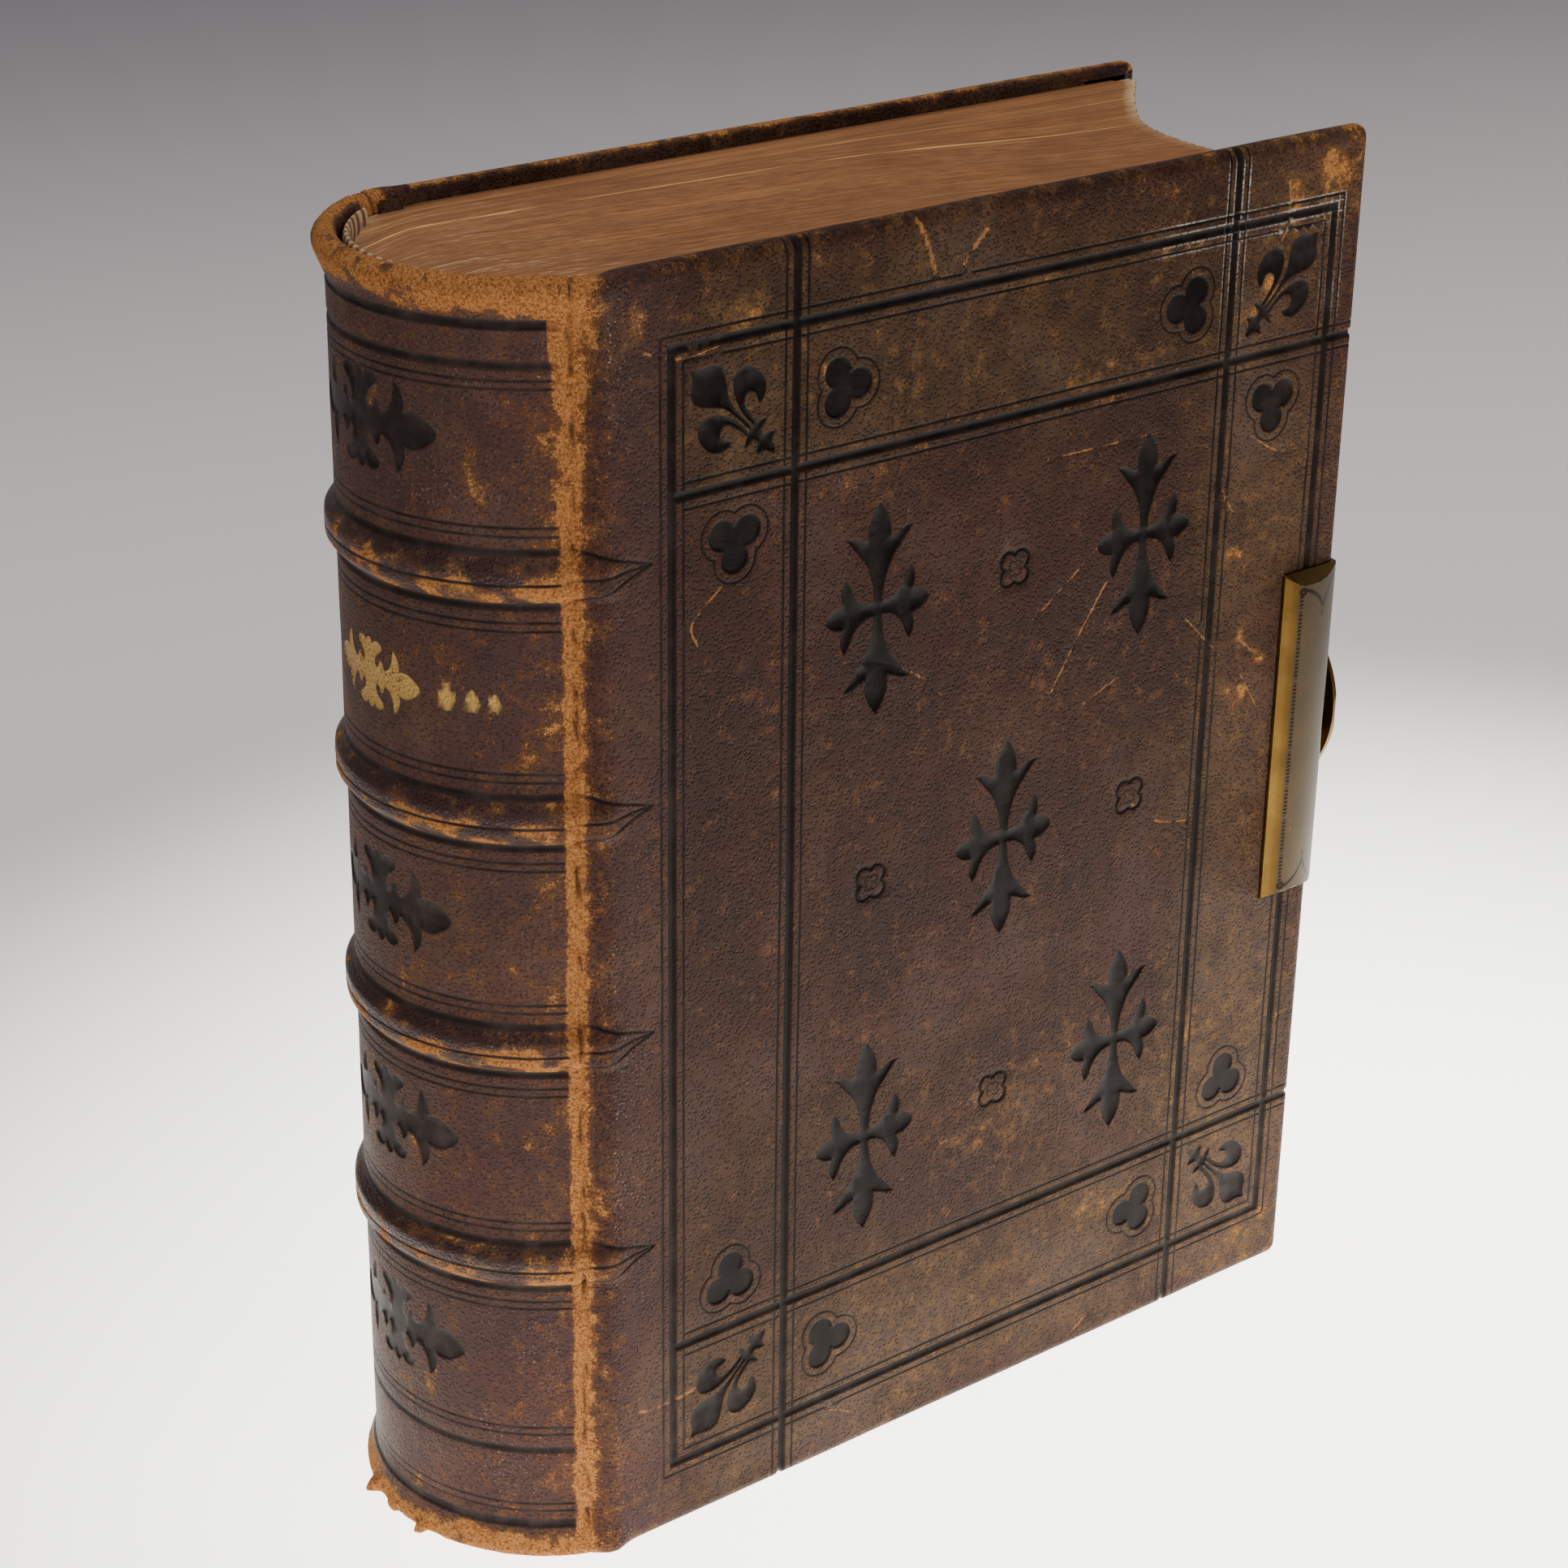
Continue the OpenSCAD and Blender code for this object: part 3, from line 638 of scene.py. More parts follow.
def foil(lobes, out, radius, turn, steps=90):
    """Outline of a ring of overlapping discs."""
    angle = np.linspace(0, 2 * math.pi, steps, endpoint=False)
    ray = np.stack([np.cos(angle), np.sin(angle)], 1)
    best = np.zeros(steps)
    for i in range(lobes):
        a = turn + 2 * math.pi * i / lobes
        centre = out * np.array([math.cos(a), math.sin(a)])
        ahead = ray @ centre
        inside = radius ** 2 - (out ** 2 - ahead ** 2)
        best = np.maximum(best, np.where(inside > 0, ahead + np.sqrt(np.maximum(inside, 0)), 0))
    return ray * best[:, None]


def turned(outline, middle, angle=0.0, size=1.0):
    c, s = math.cos(angle), math.sin(angle)
    return np.asarray(outline) @ np.array([(c, s), (-s, c)]) * size + middle


def signed_distance(points, outline):
    """Distance from each point to a closed outline, below zero inside it."""
    a, b = outline, np.roll(outline, -1, axis=0)
    best = np.full(len(points), 1e9)
    inside = np.zeros(len(points), bool)
    for (ax, ay), (bx, by) in zip(a, b):
        ex, ey = bx - ax, by - ay
        px, py = points[:, 0] - ax, points[:, 1] - ay
        t = np.clip((px * ex + py * ey) / max(ex * ex + ey * ey, 1e-12), 0, 1)
        best = np.minimum(best, (px - t * ex) ** 2 + (py - t * ey) ** 2)
        if ay != by:
            cross = ((points[:, 1] < ay) != (points[:, 1] < by)) & (
                px < ex * (points[:, 1] - ay) / ey)
            inside ^= cross
    return np.where(inside, -1, 1) * np.sqrt(best)


class Tooling:
    """Impressions in a sheet of leather, in the sheet's own flat coordinates."""

    def __init__(self):
        self.bars, self.outlines, self.strokes = [], [], []

    def bar(self, low, high, depth):
        """A straight rule that fills the rectangle from low to high."""
        self.bars.append((np.array(low, float), np.array(high, float), depth))

    def stamp(self, outline, depth=0.45, gilt=False):
        self.outlines.append((outline, None, depth, gilt))

    def contour(self, outline, half=0.3, depth=0.25):
        self.outlines.append((outline, half, depth, False))

    def stroke(self, a, b, half=0.35, depth=0.25):
        self.strokes.append((np.array(a, float), np.array(b, float), half, depth))

    def support(self, low, high):
        """Points round every stamp and stroke, where the surface bends sharply."""
        found = []
        for outline, half, _, _ in self.outlines:
            ahead = np.roll(outline, -1, axis=0) - np.roll(outline, 1, axis=0)
            length = np.maximum(np.linalg.norm(ahead, axis=1), 1e-9)[:, None]
            side = np.stack([ahead[:, 1], -ahead[:, 0]], 1) / length
            for away in (-0.75, -0.42, -0.15, 0.15, 0.5) if half is None else (-0.6, -0.3, 0, 0.3, 0.6):
                found.append(outline + side * away)
        for a, b, half, _ in self.strokes:
            along = (b - a) / np.linalg.norm(b - a)
            side = np.array([along[1], -along[0]])
            for t in np.arange(0, np.linalg.norm(b - a), 0.8):
                found.append(np.array([a + along * t + side * w for w in (-0.6, -0.3, 0, 0.3, 0.6)]))
        if not found:
            return np.zeros((0, 2))
        points = np.vstack(found)
        return points[((points > low) & (points < high)).all(1)]

    def press(self, points):
        """Depth, black and gilt at each point."""
        depth, black = np.zeros(len(points)), np.zeros(len(points))
        gold = np.zeros(len(points))

        def sink(chosen, distance, deep):
            depth[chosen] = np.maximum(depth[chosen], deep * smooth(0.12, -0.42, distance))
            return smooth(0.14, -0.14, distance)

        for low, high, deep in self.bars:
            gap = np.maximum(low - points, points - high).max(1)
            black[:] = np.maximum(black, sink(slice(None), gap, deep))
        for outline, half, deep, gilt in self.outlines:
            near = ((points > outline.min(0) - 2) & (points < outline.max(0) + 2)).all(1)
            if not near.any():
                continue
            gap = signed_distance(points[near], outline)
            if half is not None:
                gap = np.abs(gap) - half
            ink = sink(near, gap, deep)
            target = gold if gilt else black
            target[near] = np.maximum(target[near], ink)
        for a, b, half, deep in self.strokes:
            along = b - a
            t = np.clip(((points - a) @ along) / (along @ along), 0, 1)
            gap = np.linalg.norm(points - a - t[:, None] * along, axis=1) - half
            black[:] = np.maximum(black, sink(slice(None), gap, deep))
        return depth, black, gold


def grid_points(xs, zs):
    """Every pair of an x and a z, row by row."""
    return np.stack(np.meshgrid(xs, zs), -1).reshape(-1, 2)


def grid_lines(low, high, step, fine=()):
    """Coordinates step apart from low to high, with closer ones wherever fine asks."""
    base = np.linspace(low, high, int(round((high - low) / step)) + 1)
    extra = np.array([c + o for c, offsets in fine for o in offsets], float)
    extra = np.unique(np.round(extra[(extra > low) & (extra < high)], 3)) if len(extra) else extra
    if len(extra):
        gap = np.abs(base[:, None] - extra[None, :]).min(1)
        base = base[(gap > 0.3 * step) | (base == base[0]) | (base == base[-1])]
    return np.unique(np.concatenate([base, extra]))


FRAME_C = np.array([120.5, BOOK_H / 2])
FRAME_HALF = np.array([98.9, 140.45])
INNER_HALF = np.array([65.6, 107.4])
THIN_GAP = 3.0                                       # from a thick rule to the thin one beside it
THICK_HALF, THIN_HALF = 1.05, 0.28
OFF_EDGE = 40.0                                      # far enough to run off any edge
# A rule's half width, its depth, and the grid lines that it needs beside its middle.
THICK = (THICK_HALF, 0.5, (-1.65, -1.3, -1.0, -0.6, 0.6, 1.0, 1.3, 1.65))
THIN = (THIN_HALF, 0.26, (-0.8, -0.45, -0.18, 0.18, 0.45, 0.8))


def cover_frame(t):
    """The crossing rules of a cover's frame. Returns the grid lines that their edges need."""
    left, foot = FRAME_C - FRAME_HALF
    right, head = FRAME_C + FRAME_HALF
    lines_x, lines_z = [], []

    def upright(x, low, high, rule):
        half, depth, offsets = rule
        t.bar((x - half, low), (x + half, high), depth)
        lines_x.append((x, offsets))

    def level(z, low, high, rule):
        half, depth, offsets = rule
        t.bar((low, z - half), (high, z + half), depth)
        lines_z.append((z, offsets))

    for x in (left, right):
        upright(x, foot - THICK_HALF, head + THICK_HALF, THICK)
    for z in (foot, head):
        level(z, left, right, THICK)
    for grow in (THIN_GAP, -THIN_GAP):
        for x in (left - grow, right + grow):
            upright(x, foot - grow, head + grow, THIN)
        for z in (foot - grow, head + grow):
            level(z, left - grow, right + grow, THIN)
    for side in (-1, 1):
        x, z = FRAME_C + side * INNER_HALF
        upright(x, -OFF_EDGE, BOOK_H + OFF_EDGE, THICK)
        level(z, left, COVER_W + OFF_EDGE, THICK)
        for gap in (-THIN_GAP, THIN_GAP):
            upright(x + gap, -OFF_EDGE, BOOK_H + OFF_EDGE, THIN)
            level(z + gap, left + THIN_GAP, COVER_W + OFF_EDGE, THIN)
    return lines_x, lines_z


def cover_stamps(t):
    """Five crosses, four rosettes, and in each corner a flower and two trefoils."""
    for place in ((0, 0), (-41.2, 69), (41.2, 69), (-41.2, -69), (41.2, -69)):
        t.stamp(turned(CROSS, FRAME_C + place))
    for place in ((0, 69.7), (0, -69.7), (-41.4, 0), (41.4, 0)):
        t.contour(turned(foil(4, 2.7, 2.3, math.pi / 4), FRAME_C + place), 0.5, 0.35)
        t.contour(turned(foil(4, 1.2, 0.95, math.pi / 4, 40), FRAME_C + place), 0.15, 0.15)
    for sx, sz in ((-1, -1), (-1, 1), (1, -1), (1, 1)):
        t.stamp(turned(FLEUR, FRAME_C + (sx * 82.4, sz * 123.8), math.atan2(-sx, sz)))
        for place, inward in (((sx * 52.0, sz * 123.8), math.pi if sx > 0 else 0),
                              ((sx * 82.0, sz * 94.3), -sz * math.pi / 2)):
            t.stamp(turned(foil(3, 3.9, 3.7, 0), FRAME_C + place, inward))
            t.contour(turned(foil(3, 3.9, 5.7, 0), FRAME_C + place, inward), 0.28, 0.26)


def cover_tooling():
    """The blind-tooled design of one cover, with x to the fore-edge and z up."""
    t = Tooling()
    lines_x, lines_z = cover_frame(t)
    cover_stamps(t)
    arrows(t)
    return t, lines_x, lines_z


def arrows(t):
    """Three strokes beside each band that meet in a point on the cover."""
    for z in BANDS:
        tip = (16.3, z + 1.2)
        for rise in (5.7, 0.2, -4.6):
            t.stroke((-2.2, z + rise * 1.22), tip, 0.33, 0.34)


# ---------------------------------------------------------------- leather surfaces

def edge_section():
    """Out and down along a cover's edge, by length from where its face begins to round."""
    turn = np.linspace(0, math.pi / 2, 14)
    face = np.stack([EDGE * np.sin(turn), 2.7 * (1 - np.cos(turn))], 1)
    under = np.array([(EDGE, COVER_T - 0.9), (EDGE - 0.3, COVER_T - 0.2), (EDGE - 1.0, COVER_T),
                      (EDGE - 18.0, COVER_T)])
    path = np.vstack([face, under])
    return by_length(path), path


EDGE_T, EDGE_PATH = edge_section()
EDGE_END = EDGE_T[-1]


def edge_at(length):
    return (np.interp(length, EDGE_T, EDGE_PATH[:, 0]), np.interp(length, EDGE_T, EDGE_PATH[:, 1]))


def cover_surface(p):
    """Flat coordinates of a cover's leather to its outer surface, edges rolled over."""
    low, high = np.array([-50.0, EDGE]), np.array([COVER_W - EDGE, BOOK_H - EDGE])
    core = np.clip(p, low, high)
    over = p - core
    length = np.linalg.norm(over, axis=1)
    out, down = edge_at(length)
    way = over / np.maximum(length, 1e-9)[:, None]
    flat = core + way * out[:, None]
    return np.stack([flat[:, 0], down, flat[:, 1]], 1)


def cap_section(points):
    path = spline(points, 0.3)
    return by_length(path), path


HEAD_START, TAIL_START = BOOK_H - 12.0, 12.0
HEAD_T, HEAD_PATH = cap_section([
    (SPINE_R, BOOK_H - 12), (SPINE_R + 0.5, BOOK_H - 8.6), (CAP_R - 0.5, BOOK_H - 5.0),
    (CAP_R, BOOK_H - 2.6), (CAP_R - 1.2, BOOK_H - 0.7), (CAP_R - 3.0, BOOK_H),
    (CAP_R - 4.8, BOOK_H - 0.8), (CAP_R - 5.7, BOOK_H - 2.8), (CAP_R - 6.0, BOOK_H - 7.0),
    (CAP_R - 6.0, BOOK_H - 12.0)])
TAIL_T, TAIL_PATH = cap_section([
    (SPINE_R, 12.0), (SPINE_R + 0.7, 8.0), (CAP_R - 0.6, 4.2), (CAP_R, 2.0),
    (CAP_R - 0.8, 0.45), (CAP_R - 2.6, 0.05), (CAP_R - 4.6, 0.5), (CAP_R - 5.6, 2.4),
    (CAP_R - 5.8, 6.0), (CAP_R - 5.8, 11.0)])
BAND_RISE = 2.4
ORNAMENT_Z = (282.6, 169.0, 113.2, 55.6)              # middles of the panels' ornaments


def spine_profile(t):
    """Radius and height of the spine's leather at t, its height measured along the leather."""
    radius, height = np.full(len(t), SPINE_R), t.copy()
    for z in BANDS:
        radius += BAND_RISE * smooth(5.6, 2.2, np.abs(t - z))
    top, tail = t > HEAD_START, t < TAIL_START
    radius[top] = np.interp(t[top] - HEAD_START, HEAD_T, HEAD_PATH[:, 0])
    height[top] = np.interp(t[top] - HEAD_START, HEAD_T, HEAD_PATH[:, 1])
    radius[tail] = np.interp(TAIL_START - t[tail], TAIL_T, TAIL_PATH[:, 0])
    height[tail] = np.interp(TAIL_START - t[tail], TAIL_T, TAIL_PATH[:, 1])
    return radius, height


def spine_surface(p):
    """s runs round the spine from the front to the back, t up its leather."""
    phi = p[:, 0] / SPINE_R
    radius, height = spine_profile(p[:, 1])
    return np.stack([SPINE_CX - radius * np.cos(phi), SPINE_CY + radius * np.sin(phi), height], 1)


JOINT_XS = np.array([SEAM_X, -2.5, -0.5, 1.2, 3.0, 4.0, 5.5, 8.5, SEAM])
JOINT_SHARE = np.array([1.0, 0.80, 0.65, 0.49, 0.215, 0.11, 0.03, 0.0, 0.0])


def joint_plan(x, start):
    """Depth of the joint's valley below the cover's face at x."""
    curve = spline(np.stack([JOINT_XS, JOINT_SHARE * start], 1), 0.15)
    return np.interp(x, curve[:, 0], curve[:, 1])


def make_joint_surface(start):
    """Surface of one joint's leather, from the spine's seam to the cover's."""
    def surface(p):
        x, t = p[:, 0], p[:, 1]
        step = 0.05
        y = joint_plan(x, start)
        slope = (joint_plan(x + step, start) - joint_plan(x - step, start)) / (2 * step)
        share = smooth(SEAM, 0.0, x)
        slope = np.where(x < -2.5, slope * smooth(SEAM_X, -2.5, x)
                         - math.tan(math.pi / 2 - SEAM_PHI) * (1 - smooth(SEAM_X, -2.5, x)), slope)
        normal = np.stack([slope, -np.ones(len(x))], 1)
        normal /= np.linalg.norm(normal, axis=1)[:, None]
        radius, height = spine_profile(t)
        flat = cover_surface(np.stack([np.full(len(t), 50.0), t], 1))
        out = share * (radius - SPINE_R) - (1 - share) * flat[:, 1]
        up = share * height + (1 - share) * flat[:, 2]
        return np.stack([x + normal[:, 0] * out, y + normal[:, 1] * out, up], 1)
    return surface


def normals(surface, p):
    e = 0.02
    du = surface(p + (e, 0)) - surface(p - (e, 0))
    dv = surface(p + (0, e)) - surface(p - (0, e))
    n = np.cross(du, dv)
    return n / np.maximum(np.linalg.norm(n, axis=1), 1e-12)[:, None]


def mirror_y(points):
    out = np.array(points)
    out[:, 1] = BOOK_T - out[:, 1]
    return out


# ---------------------------------------------------------------- wear

SCRATCHES = [                                        # width, then points along the scratch
    (1.3, [(88, 317), (91, 311), (93.5, 304)]), (1.3, [(108, 311.5), (104.5, 308), (101.5, 304.5)]),
    (0.5, [(35, 243.5), (27, 236.5), (28.5, 231)]), (0.4, [(70, 217), (80, 214.5), (91, 209), (100, 201)]),
    (0.4, [(147, 228), (133, 218), (127, 214)]), (0.5, [(150, 218), (141, 205), (134, 194)]),
    (0.8, [(196, 193), (203, 187), (205, 184)]), (0.4, [(198, 183), (205, 172)]),
    (0.5, [(163, 156), (172, 149), (183, 146)]), (0.4, [(145, 188), (155, 192)]),
    (0.9, [(7, 41), (14, 37), (27, 37.5), (36, 40)]), (0.5, [(70, 14), (76, 11)]),
    (0.6, [(150, 3), (158, 8)]), (0.7, [(203, 308), (204.5, 300), (202, 294)]),
    (0.5, [(196, 246), (206, 240), (211, 241)]), (0.5, [(186, 236), (191, 228), (195, 226)]),
    (0.6, [(14, 300), (24, 297), (34, 298)]), (0.4, [(130, 253.5), (166, 253)]),
    (0.4, [(178, 202), (190, 190)])]
BLOTCHES = [                                         # middle x and z, half sizes, strength
    (38, 304, 9, 4, 0.42), (58, 296, 7, 4, 0.40), (120, 297, 20, 6, 0.25), (205, 302, 4, 9, 0.60),
    (218, 309, 8, 7, 0.75), (200, 283, 5, 5, 0.50), (192, 277, 5, 3, 0.45), (28, 279, 6, 5, 0.42),
    (192, 216, 4, 2.4, 0.70), (160, 42, 13, 7, 0.42), (215, 14, 14, 9, 0.35), (88, 262, 20, 5, 0.26),
    (150, 270, 20, 8, 0.22), (185, 74, 14, 18, 0.22), (120, 88, 40, 20, 0.14), (64, 286, 7, 5, 0.34),
    (197, 192, 3, 5, 0.40), (205, 186, 4, 3, 0.45), (199, 176, 3, 4, 0.40), (190, 183, 5, 2, 0.30),
    (12, 306, 7, 10, 0.30), (8, 26, 5, 22, 0.30), (200, 176, 9, 16, 0.20), (52, 188, 6, 3, 0.28)]


def outward(surface, p, probe, way):
    """Normals of a surface at p, all turned so that the one at probe faces way."""
    faced = normals(surface, np.array([probe], float))[0] @ np.array(way, float)
    return normals(surface, p) * (1 if faced > 0 else -1)


def on_side(points, faces, is_back):
    """A front piece's mesh, or its mirror image for the back cover."""
    if not is_back:
        return points, faces
    return mirror_y(points), [tuple(reversed(f)) for f in faces]


def bend(piece, start, end, is_back):
    """Bakes a piece's transform into its mesh; the ends at start and end, given for the front, are mirrored
    for its side but bend nothing.
    """
    ends, _ = on_side(np.array([start, end], float), [], is_back)
    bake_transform(piece)


def to_edge(p):
    """How far inside a cover's three free edges each point is."""
    return np.minimum(COVER_W - p[:, 0], np.minimum(p[:, 1], BOOK_H - p[:, 1]))


def patches(p, scale, seed, level=0.0, squash=1.0):
    """Smooth noise over flat coordinates. level gives each cover its own, and squash below 1 draws
    it out along z."""
    return wobble(np.stack([p[:, 0], p[:, 1] * squash, np.full(len(p), level)], 1), scale, seed)


def scratch_support():
    found = []
    for width, path in SCRATCHES:
        curve = spline(path, 0.8)
        ahead = np.gradient(curve, axis=0)
        side = np.stack([ahead[:, 1], -ahead[:, 0]], 1)
        side /= np.linalg.norm(side, axis=1)[:, None]
        found += [curve + side * w * (width + 0.3) for w in (-1.0, -0.5, 0, 0.5, 1.0)]
    return np.vstack(found)


def cover_wear(p, seed):
    """How rubbed a cover is, from 0 to 1: edges, corners, head margin and the lower half."""
    x, z, rim = p[:, 0], p[:, 1], to_edge(p)
    corner = np.minimum(np.hypot(COVER_W - x, z), np.hypot(COVER_W - x, BOOK_H - z))
    wear = 0.03 + 0.06 * smooth(12, 0, rim) + 0.16 * smooth(2.0, -1.5, rim)
    wear += 0.22 * smooth(9, 1, corner)
    wear += 0.09 * smooth(150, 40, z) * smooth(20, 110, x)
    wear += 0.08 * smooth(260, 268, z) * smooth(20, 50, x)
    wear += 0.07 * smooth(180, 196, x)
    wear += 0.16 * patches(p, 34.0, seed, seed)
    ragged = np.clip(0.6 + 0.9 * patches(p, 6.0, seed + 1, seed), 0.2, 1.2)
    for middle_x, middle_z, half_x, half_z, strength in BLOTCHES:
        away = np.hypot((x - middle_x) / half_x, (z - middle_z) / half_z)
        wear += strength * smooth(1.15, 0.35, away) * ragged
    return wear + 0.25 * smooth(7.5, 3.5, x)


def cover_fading(p, seed):
    """Where a cover's brown has faded to olive: round the frame and over the lower half."""
    rim = to_edge(p)
    olive = 0.10 + 0.75 * smooth(62, 44, rim) + 0.35 * smooth(150, 50, p[:, 1])
    olive *= smooth(6, 40, p[:, 0]) * (1 - 0.6 * smooth(12, 3, rim))
    return np.clip(olive + 0.45 * patches(p, 30.0, seed + 5, seed), 0, 1)


def cover_paleness(p):
    """Where a cover's colour is lightened, partly as painted light: its joint side, fore-edge side and tail.
    """
    pale = 0.42 * smooth(30, 14, p[:, 0]) + 0.28 * smooth(180, 196, p[:, 0])
    return np.clip(pale + 0.25 * smooth(90, 15, p[:, 1]), 0, 1)


def cover_fleck_glint(p):
    """Pale flecks in the grain beside the joint, partly painted glints where the leather slopes into the
    joint.
    """
    side = smooth(3.5, 6.0, p[:, 0]) * smooth(20, 9, p[:, 0])
    return np.clip(side * (0.35 + 1.1 * patches(p, 22.0, 17.0, squash=0.4)), 0, 1)


def cover_wax(p):
    """Pale polish left beside the rules near the head of the fore-edge side."""
    x, z = p[:, 0], p[:, 1]
    right, head = FRAME_C + FRAME_HALF
    rules = ((x - FRAME_C[0] - INNER_HALF[0], smooth(262, 284, z) * smooth(317, 313, z)),
             (z - head, smooth(150, 178, x) * smooth(right + 3.6, right + 3.0, x)),
             (x - right, smooth(268, 286, z) * smooth(head + 3.6, head + 3.0, z)))
    flank, outer = THICK_HALF + 0.25, THIN_GAP + 0.45
    wax = np.zeros(len(p))
    for gap, span in rules:
        for off in (-outer, -flank, flank, outer):
            wax = np.maximum(wax, smooth(0.28, 0.08, np.abs(gap - off)) * span)
    return wax * np.clip(0.58 + 1.2 * patches(p, 20.0, 3.0), 0.05, 1)


def scratch_mark(p):
    """Where the scratches are, from 0 to 1."""
    mark = np.zeros(len(p))
    for width, path in SCRATCHES:
        curve = spline(path, 0.8)
        near = ((p > curve.min(0) - 3) & (p < curve.max(0) + 3)).all(1)
        if near.any():
            gap = np.min(np.linalg.norm(p[near][:, None] - curve[None], axis=2), axis=1)
            mark[near] = np.maximum(mark[near], smooth(width + 0.2, 0.25 * width, gap))
    return mark


# ---------------------------------------------------------------- the leather pieces

def cover_rim(right, foot, head):
    """Points along the turned-in edge of a cover's sheet, with its two fore-edge corners round."""
    turn = right - (COVER_W - EDGE)
    xs, zs = np.linspace(SEAM, COVER_W - EDGE, 74), np.linspace(EDGE, BOOK_H - EDGE, 104)
    rim = [grid_points(xs, [foot]), grid_points(xs, [head]), grid_points([right], zs)]
    for middle_z, start in ((BOOK_H - EDGE, 0.0), (EDGE, -math.pi / 2)):
        a = np.linspace(start, start + math.pi / 2, 26)
        rim.append(np.stack([COVER_W - EDGE + turn * np.cos(a), middle_z + turn * np.sin(a)], 1))
    return np.vstack(rim)


def build_cover_points():
    """A cover's tooling, and the flat points of its leather, closer where it is tooled."""
    tooling, lines_x, lines_z = cover_tooling()
    right, foot, head = COVER_W - EDGE + EDGE_END, EDGE - EDGE_END, BOOK_H - EDGE + EDGE_END
    roll = np.arange(-5, 6, 1.0)
    grid = grid_points(grid_lines(SEAM, right, 3.0, lines_x + [(COVER_W, roll)]),
                       grid_lines(foot, head, 3.0, lines_z + [(0, roll), (BOOK_H, roll)]))
    near = tooling.support(np.array([SEAM, foot]), np.array([right, head]))
    tips = [grid_points(np.arange(SEAM, 17.5, 0.45), np.arange(z - 3.2, z + 4.4, 0.45)) for z in BANDS]
    points = np.vstack([grid, near, scratch_support()] + tips)
    over = points - np.clip(points, (-50, EDGE), (COVER_W - EDGE, BOOK_H - EDGE))
    inside = (np.linalg.norm(over, axis=1) < EDGE_END - 0.3) & (points[:, 0] >= SEAM)
    return tooling, np.vstack([points[inside], cover_rim(right, foot, head)])


def add_cover_leather(name, node, body, flat, faces, tooling, is_back):
    """One cover's leather with its tooling, scratches and wear."""
    depth, black, _ = tooling.press(flat)
    rim = to_edge(flat)
    kept = smooth(-0.5, 2.5, rim) if is_back else smooth(-2.6, -0.6, rim)
    depth, black = depth * kept, black * kept
    seed = 31.0 if is_back else 4.0
    mark = scratch_mark(flat * (1, -1) + (0, BOOK_H) if is_back else flat)
    wear = cover_wear(flat, seed)
    if is_back:
        wear += 0.40 * (1 - kept)
    wear *= 1 - 0.9 * smooth(-2.2, -4.2, rim)
    surface = cover_surface(flat)
    swell = 0.16 * wobble(surface * (1, 0, 1), 46.0, seed + 2) * smooth(0, 14, COVER_W - flat[:, 0])
    out = outward(cover_surface, flat, (100, 100), (0, -1, 0))
    points, faces = on_side(surface + out * (swell - depth - 0.08 * mark)[:, None], faces, is_back)
    piece = add_piece(name, points, faces, "leather", {
        "tool": black, "wear": wear, "mark": mark, "wax": cover_wax(flat) * (1 - 0.9 * black),
        "olive": cover_fading(flat, seed), "frost": cover_fleck_glint(flat), "pale": cover_paleness(flat)})
    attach(piece, body)
    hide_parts(node)


tooling, cover_points = build_cover_points()
cover_flat, cover_faces = triangulate(cover_points)
add_cover_leather("front_leather", "front_cover_leather", "front_cover",
                  cover_flat, cover_faces, tooling, False)
add_cover_leather("back_leather", "back_cover_leather", "back_cover",
                  cover_flat, cover_faces, tooling, True)

BAND_LINES = ((6.1, 0.95, 0.4), (9.7, 0.3, 0.24), (11.7, 0.3, 0.24))
HEAD_LINES = ((307.7, 1.15, 0.45), (299.0, 1.0, 0.45), (295.8, 0.3, 0.24), (294.0, 0.3, 0.24))
TAIL_LINES = ((36.5, 0.3, 0.24), (34.5, 0.3, 0.24), (30.0, 0.95, 0.42), (14.5, 0.3, 0.24),
              (12.5, 0.3, 0.24), (9.0, 1.15, 0.45))


def spine_tooling(start, end):
    """Rules across the spine from start to end, and the grid rows that their edges need."""
    t = Tooling()
    rows = []
    levels = list(HEAD_LINES) + list(TAIL_LINES)
    for z in BANDS:
        levels += [(z + s * off, half, deep) for off, half, deep in BAND_LINES for s in (-1, 1)]
        levels.append((z - 0.4, 0.3, 0.3))
    for z, half, deep in levels:
        t.bar((start, z - half), (end, z + half), deep)
        rows.append((z, (-half - 0.25, -half, -half * 0.4, half * 0.4, half, half + 0.25)))
    return t, rows


def spine_rows(rows):
    low = TAIL_START - TAIL_T[-1] + 0.3
    high = HEAD_START + HEAD_T[-1] - 0.3
    roll = [(TAIL_START - 1, np.arange(-18, 2, 0.9)), (HEAD_START + 1, np.arange(-2, 18, 0.9))]
    slopes = [(z, (-5.0, -4.4, -3.8, -3.2, -2.6, -1.6, 1.6, 2.6, 3.2, 3.8, 4.4, 5.0)) for z in BANDS]
    return grid_lines(low, high, 2.4, rows + roll + slopes)


